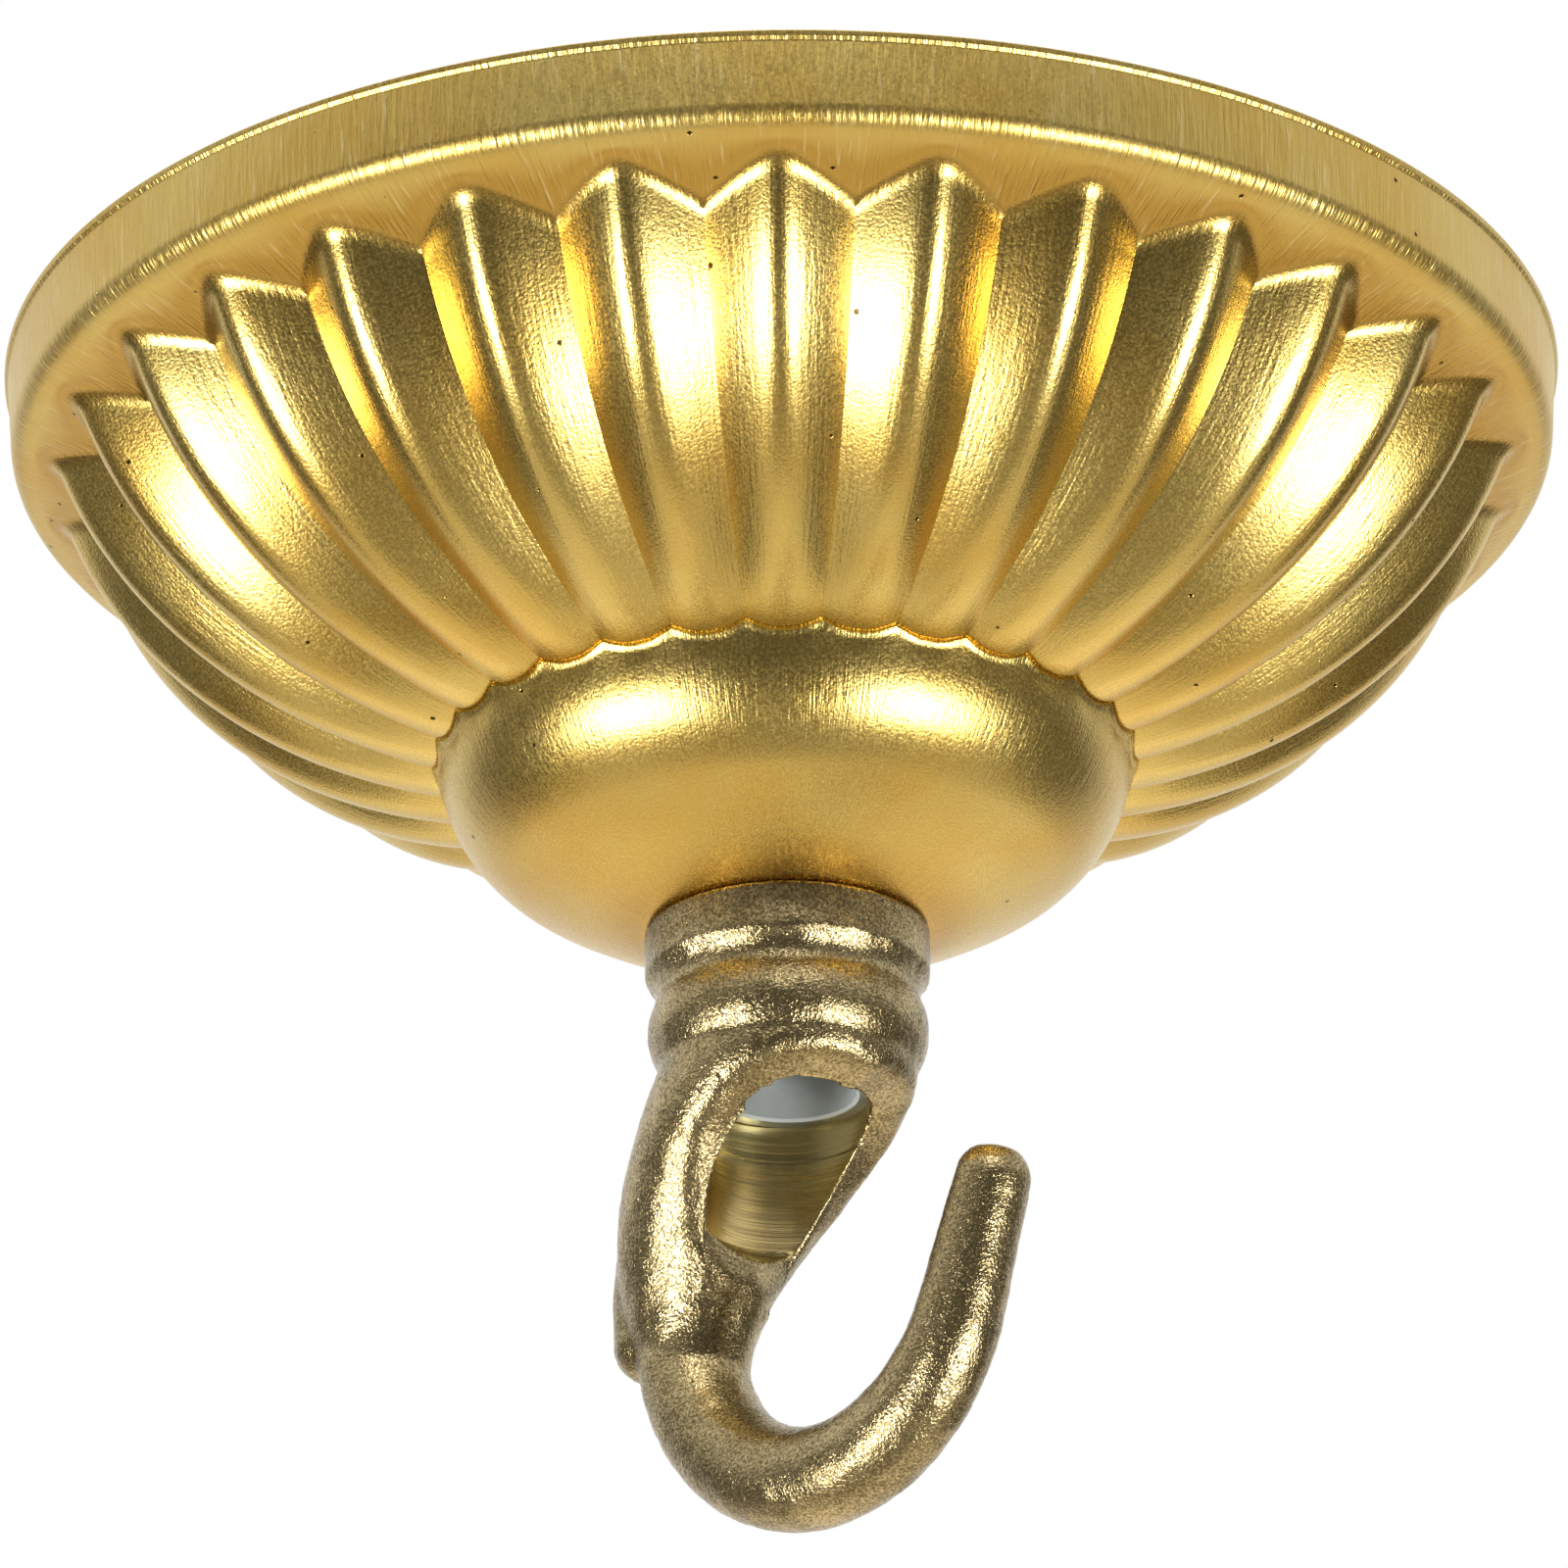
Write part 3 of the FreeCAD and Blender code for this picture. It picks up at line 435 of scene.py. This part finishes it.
def narrow_bore(s, mesh, top):
    """Draws the open part of the bore in to its drilled size. The barrel's back keeps its outside."""
    spots = np.empty(3 * len(mesh.vertices))
    facing = np.empty(3 * len(mesh.vertices))
    mesh.vertices.foreach_get("co", spots)
    mesh.vertices.foreach_get("normal", facing)
    spots, facing = spots.reshape(-1, 3), facing.reshape(-1, 3)
    out = np.maximum(np.hypot(spots[:, 0], spots[:, 1]), 1e-6)
    away = spots[:, :2] / out[:, None]
    inward = -(away * facing[:, :2]).sum(1)
    # The front moves as a whole. Towards the back only what doesn't face outwards moves
    front = np.interp(away[:, 1], (0.1, 0.5), (1, 0))
    wall = np.maximum(np.interp(inward, (-0.8, -0.3), (0, 1)), front)
    depth = top - spots[:, 2]
    share = np.clip((depth - s.bore_open) / s.bore_ease, 0, 1) * (depth < s.bore_depth) * wall
    # The move is full at the bore's wall, and fades out beyond it
    far = (0, s.bore_radius, s.tap_radius, 1.35 * s.tap_radius)
    shift = share * np.interp(out, far, (0, s.drilled_in, s.thread_in, 0))
    spots[:, :2] -= away * shift[:, None]
    spots[:, 0] += share * np.interp(out, far, (1, 1, 1, 0)) * s.bore_off
    mesh.vertices.foreach_set("co", spots.ravel())
    mesh.update()


def apply_modifiers(piece):
    """The mesh that a piece's modifiers give. The modifiers are removed."""
    bpy.context.view_layer.update()
    mesh = bpy.data.meshes.new_from_object(piece.evaluated_get(bpy.context.evaluated_depsgraph_get()))
    piece.modifiers.clear()
    if not mesh.polygons:
        raise RuntimeError(f"{piece.name} came out empty")
    return mesh


def in_bore(s, point, normal, top):
    """True on the drilled or tapped wall of the hook's bore, or on the cone under it."""
    if point.z < top - s.bore_depth:
        return False
    out = math.hypot(point.x - s.bore_off, point.y)
    inward = -((point.x - s.bore_off) * normal.x + point.y * normal.y) / max(out, 1e-6)
    least, most = s.bore_radius - s.drilled_in - 0.25 * MM, s.tap_radius + 0.2 * MM
    cone_top = top - 15 * MM
    wall = inward > 0.8 and least < out < most
    cone = normal.z > 0.6 and out < s.bore_radius and point.z < cone_top
    return wall or cone


class CEILINGHOOK_OT_fixings(bpy.types.Operator):
    """Threaded tube, three thin nuts and the washer, all zinc plated"""
    bl_idname = "ceiling_hook.fixings"
    bl_label = "Tube, nuts and washer"

    def execute(self, context):
        s = context.scene.ceiling_hook_fixings
        finish = context.scene.ceiling_hook_finish
        zinc = zinc_steel(finish)
        thread = tube_mesh(s, *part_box("threaded_tube"))
        tube = place("tube_threaded", thread, zinc, "zinc_steel", "threaded_tube")
        tube.data.materials.append(dull_zinc(finish))
        for name in ("canopy_nut", "strap_nut_lower", "strap_nut_upper"):
            place(f"{name}_hexagon", nut_mesh(s, name, *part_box(name)), zinc, "zinc_steel", name)
        low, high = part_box("canopy_washer")
        turns = np.linspace(0, 2 * math.pi, 96, endpoint=False)
        inner, outer, middle = s.washer_bore, high.x, (low.z + high.z) / 2
        corners = [(inner, middle), (inner, low.z), (outer, low.z), (outer, high.z), (inner, high.z),
                   (inner, middle)]
        path = rounded(corners, [s.edge] * 4, 3)[:-1]
        rings = turned(path[:, :1] + 0 * turns, path[:, 1:] + 0 * turns, turns)
        place("washer_plain", ring_mesh("washer_skin", rings), zinc, "zinc_steel", "canopy_washer")
        return {"FINISHED"}


def tube_mesh(s, low, high):
    """Hollow tube with a real thread outside and chamfered ends."""
    turns = np.linspace(0, 2 * math.pi, 64, endpoint=False)
    crest = high.x
    levels = np.linspace(low.z, high.z, int((high.z - low.z) / s.pitch * 8))[:, None]
    # Flat crests and roots, with flanks over 0.8 of the pitch
    wave = np.abs(((levels / s.pitch - turns / (2 * math.pi)) % 1) * 2 - 1)
    outs = crest - s.thread_depth * np.clip(wave * 1.25 - 0.1, 0, 1)
    end = np.minimum(levels - low.z, high.z - levels)
    outs = np.minimum(outs, crest - s.end_chamfer + end)
    ups = levels + 0 * turns
    break_edge = 0.15 * MM
    bore = np.array([(s.tube_bore + break_edge, high.z), (s.tube_bore, high.z - break_edge),
                     (s.tube_bore, low.z + break_edge), (s.tube_bore + break_edge, low.z)])
    outs = np.concatenate([outs, bore[:, :1] + 0 * turns])
    ups = np.concatenate([ups, bore[:, 1:] + 0 * turns])
    mesh = ring_mesh("tube_skin", turned(outs, ups, turns))
    for face in mesh.polygons:
        face.material_index = 1 if math.hypot(face.center.x, face.center.y) < s.tube_bore + 0.1 * MM else 0
    return mesh


def nut_mesh(s, name, low, high):
    """Thin hexagon nut with chamfered corners and bore."""
    turns = np.linspace(0, 2 * math.pi, 120, endpoint=False)
    flat = s.nut_flats / 2
    sixth = math.pi / 3
    hexagon = flat / np.cos(turns % sixth - sixth / 2)
    chamfer = np.array([0.0, 0.15, 0.3, 0.45, 0.6]) * MM
    face, rise, flare, land = flat * 0.96, flat * 0.985, 1.9, 0.02 * MM
    rows = [(s.nut_bore + s.end_chamfer + 0 * turns, low.z), (face + 0 * turns, low.z)]
    for lift in chamfer:
        rows.append((np.minimum(hexagon, rise + lift * flare), low.z + lift + land))
    for lift in chamfer[::-1]:
        rows.append((np.minimum(hexagon, rise + lift * flare), high.z - lift - land))
    rows += [(face + 0 * turns, high.z),
             (s.nut_bore + s.end_chamfer + 0 * turns, high.z),
             (s.nut_bore + 0 * turns, high.z - s.end_chamfer),
             (s.nut_bore + 0 * turns, low.z + s.end_chamfer)]
    outs = np.array([row[0] for row in rows])
    ups = np.array([row[1] + 0 * turns for row in rows])
    return ring_mesh(f"{name}_skin", turned(outs, ups, turns))


class CEILINGHOOK_OT_strap(bpy.types.Operator):
    """Ceiling strap: the CAD form with rounded edges"""
    bl_idname = "ceiling_hook.strap"
    bl_label = "Ceiling strap"

    def execute(self, context):
        s = context.scene.ceiling_hook_fixings
        rough = bpy.data.objects.new("strap_rough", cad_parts["ceiling_strap"].data.copy())
        context.scene.collection.objects.link(rough)
        weld = rough.modifiers.new("weld", "WELD")
        weld.merge_threshold = 0.005 * MM
        bevel = rough.modifiers.new("edges", "BEVEL")
        bevel.width = s.edge
        bevel.segments = 2
        bevel.limit_method = "ANGLE"
        bevel.angle_limit = math.radians(40)
        skin = apply_modifiers(rough)
        skin.name = "strap_skin"
        bpy.data.objects.remove(rough)
        skin.shade_smooth()
        skin.set_sharp_from_angle(angle=math.radians(30))
        skin.materials.clear()
        zinc = zinc_steel(context.scene.ceiling_hook_finish)
        place("strap_bar", skin, zinc, "zinc_steel", "ceiling_strap")
        return {"FINISHED"}


# Materials

def node(tree, kind, settings=None, links=None):
    """Adds a node, sets its properties and sockets by name, and links its inputs."""
    made = tree.nodes.new(kind)
    for name, value in (settings or {}).items():
        if isinstance(name, str) and name[0].islower():
            setattr(made, name, value)
        else:
            made.inputs[name].default_value = value
    for name, source in (links or {}).items():
        tree.links.new(source, made.inputs[name])
    return made


def new_metal(name, base, roughness):
    """An empty metal and its shader. The metal keeps the default IOR."""
    material = bpy.data.materials.new(name)
    material.use_nodes = True
    shader = material.node_tree.nodes["Principled BSDF"]
    shader.inputs["Base Color"].default_value = base
    shader.inputs["Metallic"].default_value = 1.0
    shader.inputs["Roughness"].default_value = roughness
    return material, material.node_tree, shader


def pressed_brass(finish):
    """Brass sheet, pressed over a die and left satin."""
    # It gives a warm gold with fine-grained highlights, brushed streaks on the rim and a few pits
    material, tree, shader = new_metal("brass_pressed_satin", finish.brass, 0.24)
    here = node(tree, "ShaderNodeTexCoord").outputs["Object"]
    axes = node(tree, "ShaderNodeSeparateXYZ", links={0: here}).outputs
    turn = node(tree, "ShaderNodeMath", {"operation": "ARCTAN2"}, {0: axes["Y"], 1: axes["X"]}).outputs[0]
    out = node(tree, "ShaderNodeMath", {"operation": "MULTIPLY"}, {0: axes["X"], 1: axes["X"]}).outputs[0]
    out = node(tree, "ShaderNodeMath", {"operation": "MULTIPLY_ADD"},
               {0: axes["Y"], 1: axes["Y"], 2: out}).outputs[0]
    out = node(tree, "ShaderNodeMath", {"operation": "SQRT"}, {0: out}).outputs[0]
    # Hairlines: really 0.05 mm wide, drawn with a pattern of 0.22 mm so that they show.
    # They run out from the axis, where the pattern is stretched to about 3 mm
    stretch = 0.08
    arc = node(tree, "ShaderNodeMath", {"operation": "MULTIPLY", 1: 40 * MM}, {0: turn}).outputs[0]
    run = node(tree, "ShaderNodeMath", {"operation": "MULTIPLY", 1: stretch}, {0: out}).outputs[0]
    level = node(tree, "ShaderNodeMath", {"operation": "MULTIPLY", 1: stretch}, {0: axes["Z"]}).outputs[0]
    streak_at = node(tree, "ShaderNodeCombineXYZ", links={"X": arc, "Y": run, "Z": level}).outputs[0]
    streak = node(tree, "ShaderNodeTexNoise", {"Scale": 1 / (0.22 * MM), "Detail": 3.0},
                  {"Vector": streak_at}).outputs[0]
    brushing = node(tree, "ShaderNodeAttribute", {"attribute_name": "brushing"}).outputs["Fac"]
    brushing = node(tree, "ShaderNodeMapRange", {"To Min": 0.25}, {"Value": brushing}).outputs[0]
    hairline = node(tree, "ShaderNodeMapRange", {"From Min": 0.6, "From Max": 0.74},
                    {"Value": streak}).outputs[0]
    hairline = node(tree, "ShaderNodeMath", {"operation": "MULTIPLY"}, {0: hairline, 1: brushing}).outputs[0]
    # Grain: orange peel 0.1 mm across, drawn 0.16 mm across so that it shows
    grain = node(tree, "ShaderNodeTexNoise", {"Scale": 1 / (0.16 * MM), "Detail": 1.0},
                 {"Vector": here}).outputs[0]
    # Patches of warmer gold, about 9 mm across
    patch = node(tree, "ShaderNodeTexNoise", {"Scale": 1 / (9 * MM), "Detail": 3.0},
                 {"Vector": here}).outputs[0]
    # Pits 0.2 to 0.3 mm across, one in about 3 mm
    pits = node(tree, "ShaderNodeTexVoronoi", {"Scale": 1 / (3.2 * MM)}, {"Vector": here})
    pit = node(tree, "ShaderNodeMapRange", {"From Min": 0.05, "From Max": 0.03, "To Min": 0.0, "To Max": 1.0},
               {"Value": pits.outputs["Distance"]}).outputs[0]
    warm = node(tree, "ShaderNodeMapRange", {"From Min": 0.4, "From Max": 0.7}, {"Value": patch}).outputs[0]
    gold = node(tree, "ShaderNodeMix", {"data_type": "RGBA", 6: finish.brass, 7: finish.brass_warm},
                {0: warm}).outputs[2]
    # Painted shade and painted warm reflection: the corners at the flutes' ends and round the collar are
    # darker and warmer
    painted_shade = node(tree, "ShaderNodeAttribute", {"attribute_name": "painted_corner_shade"}).outputs["Fac"]
    gold = node(tree, "ShaderNodeMix", {"data_type": "RGBA", 7: finish.painted_corner_shade},
                {0: painted_shade, 6: gold}).outputs[2]
    share = node(tree, "ShaderNodeMath", {"operation": "MULTIPLY", 1: 0.45}, {0: hairline}).outputs[0]
    scratched = node(tree, "ShaderNodeMix", {"data_type": "RGBA", 7: finish.scratch},
                     {0: share, 6: gold}).outputs[2]
    skin = node(tree, "ShaderNodeMix", {"data_type": "RGBA", 7: finish.pit},
                {0: pit, 6: scratched}).outputs[2]
    tree.links.new(skin, shader.inputs["Base Color"])
    gloss = node(tree, "ShaderNodeMapRange", {"From Min": 0.3, "From Max": 0.7, "To Min": 0.2, "To Max": 0.3},
                 {"Value": grain}).outputs[0]
    duller = node(tree, "ShaderNodeMath", {"operation": "MULTIPLY_ADD", 1: 0.1},
                  {0: brushing, 2: gloss}).outputs[0]
    tree.links.new(duller, shader.inputs["Roughness"])
    peeled = node(tree, "ShaderNodeMapRange", {"To Min": 0.9, "To Max": 0.2}, {"Value": brushing}).outputs[0]
    peel = node(tree, "ShaderNodeBump", {"Distance": 0.022 * MM},
                {"Height": grain, "Strength": peeled}).outputs[0]
    lines = node(tree, "ShaderNodeMath", {"operation": "MULTIPLY"}, {0: streak, 1: brushing}).outputs[0]
    brushed = node(tree, "ShaderNodeBump", {"Strength": 0.9, "Distance": 0.1 * MM},
                   {"Height": lines, "Normal": peel}).outputs[0]
    dented = node(tree, "ShaderNodeBump", {"Strength": 0.8, "Distance": 0.05 * MM, "invert": True},
                  {"Height": pit, "Normal": brushed}).outputs[0]
    tree.links.new(dented, shader.inputs["Normal"])
    return material


def cast_brass(finish):
    """Brass, sand cast and tumbled."""
    # It gives a dull olive skin, speckled where bright grains stand out of the darker oxide
    material, tree, shader = new_metal("brass_cast_tumbled", finish.cast_light, 0.4)
    here = node(tree, "ShaderNodeTexCoord").outputs["Object"]
    # Grains of the mould's sand, 0.16 mm across, and patches about 3.5 mm across that are brighter
    speck = node(tree, "ShaderNodeTexNoise", {"Scale": 1 / (0.16 * MM), "Detail": 2.0, "Roughness": 0.6},
                 {"Vector": here}).outputs[0]
    patch = node(tree, "ShaderNodeTexNoise", {"Scale": 1 / (3.5 * MM), "Detail": 2.0},
                 {"Vector": here}).outputs[0]
    mixed = node(tree, "ShaderNodeMath", {"operation": "MULTIPLY_ADD", 1: 0.4},
                 {0: patch, 2: speck}).outputs[0]
    share = node(tree, "ShaderNodeMapRange", {"From Min": 0.55, "From Max": 0.85},
                 {"Value": mixed}).outputs[0]
    skin = node(tree, "ShaderNodeMix", {"data_type": "RGBA", 6: finish.cast_dark, 7: finish.cast_light},
                {0: share}).outputs[2]
    # Pits up to 0.2 mm across, one in about 0.5 mm, and wider in some patches than in others
    pits = node(tree, "ShaderNodeTexVoronoi", {"Scale": 1 / (0.5 * MM)}, {"Vector": here}).outputs["Distance"]
    rim = node(tree, "ShaderNodeMapRange", {"From Min": 0.3, "From Max": 0.7, "To Min": 0.02, "To Max": 0.22},
               {"Value": patch}).outputs[0]
    pit = node(tree, "ShaderNodeMath", {"operation": "SUBTRACT"}, {0: rim, 1: pits}).outputs[0]
    pit = node(tree, "ShaderNodeMapRange", {"From Min": 0.0, "From Max": 0.15, "To Max": 0.6},
               {"Value": pit}).outputs[0]
    dirty = node(tree, "ShaderNodeMix", {"data_type": "RGBA", 7: finish.cast_pit},
                 {0: pit, 6: skin}).outputs[2]
    tree.links.new(dirty, shader.inputs["Base Color"])
    gloss = node(tree, "ShaderNodeMapRange", {"To Min": 0.32, "To Max": 0.17}, {"Value": share}).outputs[0]
    tree.links.new(gloss, shader.inputs["Roughness"])
    sand = node(tree, "ShaderNodeBump", {"Strength": 1.0, "Distance": 0.055 * MM},
                {"Height": speck}).outputs[0]
    pitted = node(tree, "ShaderNodeBump", {"Strength": 1.0, "Distance": 0.08 * MM, "invert": True},
                  {"Height": pit, "Normal": sand}).outputs[0]
    tree.links.new(pitted, shader.inputs["Normal"])
    return material


def machined_brass(finish):
    """Brass as the drill leaves it."""
    # It gives clean yellow metal with fine turned lines round the bore
    material, tree, shader = new_metal("brass_machined", finish.machined, 0.26)
    here = node(tree, "ShaderNodeTexCoord").outputs["Object"]
    level = node(tree, "ShaderNodeSeparateXYZ", links={0: here}).outputs["Z"]
    line_at = node(tree, "ShaderNodeCombineXYZ", links={"Z": level}).outputs[0]
    # Drill marks: really one in about 0.1 mm, drawn one in 0.35 mm so that they show
    lines = node(tree, "ShaderNodeTexNoise", {"Scale": 1 / (0.35 * MM), "Detail": 4.0},
                 {"Vector": line_at}).outputs[0]
    turned_lines = node(tree, "ShaderNodeBump", {"Strength": 0.8, "Distance": 0.08 * MM},
                        {"Height": lines}).outputs[0]
    tree.links.new(turned_lines, shader.inputs["Normal"])
    return material


def zinc_steel(finish):
    """Steel, zinc plated."""
    # It gives a cool grey with soft, slightly cloudy crystals
    made = bpy.data.materials.get("steel_zinc_plated")
    if made:
        return made
    material, tree, shader = new_metal("steel_zinc_plated", finish.zinc, 0.32)
    here = node(tree, "ShaderNodeTexCoord").outputs["Object"]
    # Crystals 1.2 mm across, in clouds of 2.5 mm
    crystal = node(tree, "ShaderNodeTexVoronoi", {"Scale": 1 / (1.2 * MM)}, {"Vector": here}).outputs["Color"]
    cloud = node(tree, "ShaderNodeTexNoise", {"Scale": 1 / (2.5 * MM), "Detail": 3.0},
                 {"Vector": here}).outputs[0]
    share = node(tree, "ShaderNodeMath", {"operation": "MULTIPLY"}, {0: crystal, 1: cloud}).outputs[0]
    skin = node(tree, "ShaderNodeMix", {"data_type": "RGBA", 6: finish.zinc, 7: finish.zinc_dark},
                {0: share}).outputs[2]
    tree.links.new(skin, shader.inputs["Base Color"])
    gloss = node(tree, "ShaderNodeMapRange", {"To Min": 0.4, "To Max": 0.6}, {"Value": cloud}).outputs[0]
    tree.links.new(gloss, shader.inputs["Roughness"])
    return material


def dull_zinc(finish):
    """Zinc plate inside the tube, where the plating stays matt."""
    # It gives a pale, chalky grey that takes light from the window
    material, tree, shader = new_metal("steel_zinc_matt", finish.zinc_pale, 0.55)
    shader.inputs["Metallic"].default_value = 0.3
    here = node(tree, "ShaderNodeTexCoord").outputs["Object"]
    # Clouds 0.8 mm across
    cloud = node(tree, "ShaderNodeTexNoise", {"Scale": 1 / (0.8 * MM), "Detail": 3.0},
                 {"Vector": here}).outputs[0]
    skin = node(tree, "ShaderNodeMix", {"data_type": "RGBA", 6: finish.zinc_pale, 7: finish.zinc},
                {0: cloud}).outputs[2]
    tree.links.new(skin, shader.inputs["Base Color"])
    return material


# Stage, in metres

FLOOR_LEVEL = -1.0
SCREEN_REACH = 1.3


class CEILINGHOOK_OT_stage(bpy.types.Operator):
    """Pale floor, white surroundings, soft lights and the camera"""
    bl_idname = "ceiling_hook.stage"
    bl_label = "Stage"

    def execute(self, context):
        scene = context.scene
        scene.view_settings.view_transform = "Standard"
        add_floor(scene)
        add_screen(scene)
        add_world(scene)
        # Softboxes: where each stands, its width and height in metres, and its power in watts
        for name, spot, wide, tall, power in (
                ("softbox_left", (-0.566, -0.354, -0.443), 0.26, 0.26, 6.0),
                ("softbox_right", (0.508, -0.412, -0.47), 0.26, 0.26, 6.0),
                ("softbox_above", (0.0, -0.69, 0.58), 0.5, 0.3, 2.4)):
            add_softbox(scene, name, spot, (0, 0, -0.02), wide, tall, power)
        # A fourth one stands low behind the hook and lights only the floor, which the lower brass mirrors
        add_softbox(scene, "floor_wash", (0, 1.4, -0.2), (0, 1.4, FLOOR_LEVEL), 1.4, 0.9, 11.0)
        add_camera(scene)
        return {"FINISHED"}


def stage_piece(scene, name, points, faces, finish, base):
    """A matt sheet of the studio, which isn't part of the object."""
    mesh = bpy.data.meshes.new(f"{name}_sheet")
    mesh.from_pydata(points, [], faces)
    material = bpy.data.materials.new(finish)
    material.use_nodes = True
    shader = material.node_tree.nodes["Principled BSDF"]
    shader.inputs["Base Color"].default_value = linear(base)
    shader.inputs["Roughness"].default_value = 1.0
    mesh.materials.append(material)
    piece = bpy.data.objects.new(name, mesh)
    scene.collection.objects.link(piece)
    return piece


def add_floor(scene):
    """A plain pale floor well below the hook, with a duller mat in front that only reflections show."""
    half, level = 8.0, FLOOR_LEVEL
    corners = [(-half, -half, level), (half, -half, level), (half, half, level), (-half, half, level)]
    stage_piece(scene, "floor", corners, [(0, 1, 2, 3)], "floor_matt_cream", "#F4EAD8")
    half, level, edge = SCREEN_REACH, FLOOR_LEVEL + 0.002, -0.05
    corners = [(-half, -half, level), (half, -half, level), (half, edge, level), (-half, edge, level)]
    mat = stage_piece(scene, "mat", corners, [(0, 1, 2, 3)], "mat_grey_felt", "#ABA598")
    mat.visible_camera = False
    mat.visible_diffuse = False
    mat.visible_shadow = False


def add_screen(scene):
    """A grey screen round the studio's dim side, behind the camera. Metal needs it to look like metal."""
    reach, low, turn, steps = SCREEN_REACH, FLOOR_LEVEL, math.radians(135), 48
    points, faces = [], []
    for step in range(steps + 1):
        at = turn * (2 * step / steps - 1)
        # It is highest straight behind the camera, and lower towards its ends
        high = np.interp(math.degrees(abs(at)), (30, 60, 105, 135), (0.52, 0.35, 0.2, -0.1))
        points += [(reach * math.sin(at), -reach * math.cos(at), level) for level in (low, high)]
    for step in range(steps):
        faces.append((2 * step, 2 * step + 1, 2 * step + 3, 2 * step + 2))
    screen = stage_piece(scene, "screen", points, faces, "screen_grey_cloth", "#66645F")
    screen.visible_camera = False


def add_world(scene):
    """White to the camera and in reflections, softer as light."""
    world = bpy.data.worlds.new("white_studio")
    world.use_nodes = True
    tree = world.node_tree
    tree.nodes.clear()
    path = node(tree, "ShaderNodeLightPath").outputs
    seen = node(tree, "ShaderNodeMath", {"operation": "MAXIMUM"},
                {0: path["Is Camera Ray"], 1: path["Is Glossy Ray"]}).outputs[0]
    seen = node(tree, "ShaderNodeMath", {"operation": "MAXIMUM"},
                {0: seen, 1: path["Is Transmission Ray"]}).outputs[0]
    level = node(tree, "ShaderNodeMapRange", {"To Min": 0.95, "To Max": 1.0}, {"Value": seen}).outputs[0]
    light = node(tree, "ShaderNodeBackground", {"Color": (1, 1, 1, 1)}, {"Strength": level}).outputs[0]
    node(tree, "ShaderNodeOutputWorld", links={"Surface": light})
    scene.world = world


def add_softbox(scene, name, spot, aim, wide, tall, power):
    """A soft rectangular light that faces a point."""
    light = bpy.data.lights.new(name, "AREA")
    light.shape = "RECTANGLE"
    light.size = wide
    light.size_y = tall
    light.energy = power
    lamp = bpy.data.objects.new(name, light)
    lamp.location = spot
    lamp.rotation_euler = (Vector(aim) - Vector(spot)).to_track_quat("-Z", "Y").to_euler()
    lamp.visible_camera = False
    scene.collection.objects.link(lamp)


def add_camera(scene):
    """Below the ceiling, looking up, as in the photograph."""
    camera = bpy.data.cameras.new("camera")
    camera.sensor_width = 36
    camera.lens = 217.33
    camera.shift_x = -0.00106
    camera.clip_start = 0.01
    eye = bpy.data.objects.new("camera", camera)
    tilt, roll, spot = 23.58, -0.62, (0, -0.4673, -0.2272)
    tip = Matrix.Rotation(math.radians(90 + tilt), 4, "X") @ Matrix.Rotation(math.radians(roll), 4, "Z")
    eye.matrix_world = Matrix.Translation(spot) @ tip
    scene.collection.objects.link(eye)
    scene.camera = eye


class CEILINGHOOK_PT_panel(bpy.types.Panel):
    """Lists the pieces of the ceiling hook"""
    bl_idname = "CEILINGHOOK_PT_panel"
    bl_label = "Ceiling hook"
    bl_space_type = "VIEW_3D"
    bl_region_type = "UI"
    bl_category = "Ceiling hook"

    def draw(self, context):
        for operator in OPERATORS:
            self.layout.operator(operator.bl_idname)
        for group in SETTINGS:
            settings = getattr(context.scene, group)
            for name in settings.__annotations__:
                self.layout.prop(settings, name)


OPERATORS = (CEILINGHOOK_OT_canopy, CEILINGHOOK_OT_hook, CEILINGHOOK_OT_fixings, CEILINGHOOK_OT_strap,
             CEILINGHOOK_OT_stage)
SETTINGS = {"ceiling_hook_canopy": CanopySizes, "ceiling_hook_hook": HookSizes,
            "ceiling_hook_fixings": FixingSizes, "ceiling_hook_finish": Finishes}
CLASSES = (*SETTINGS.values(), *OPERATORS, CEILINGHOOK_PT_panel)


def register():
    """Makes the settings, the operators and the panel known to Blender."""
    for cls in CLASSES:
        bpy.utils.register_class(cls)
    for name, group in SETTINGS.items():
        setattr(bpy.types.Scene, name, bpy.props.PointerProperty(type=group))


def unregister():
    """Takes them away again."""
    for name in SETTINGS:
        delattr(bpy.types.Scene, name)
    for cls in reversed(CLASSES):
        bpy.utils.unregister_class(cls)


def main():
    """Builds every piece."""
    register()
    bpy.ops.ceiling_hook.canopy()
    bpy.ops.ceiling_hook.hook()
    bpy.ops.ceiling_hook.fixings()
    bpy.ops.ceiling_hook.strap()
    bpy.ops.ceiling_hook.stage()


if __name__ == "__main__":
    main()
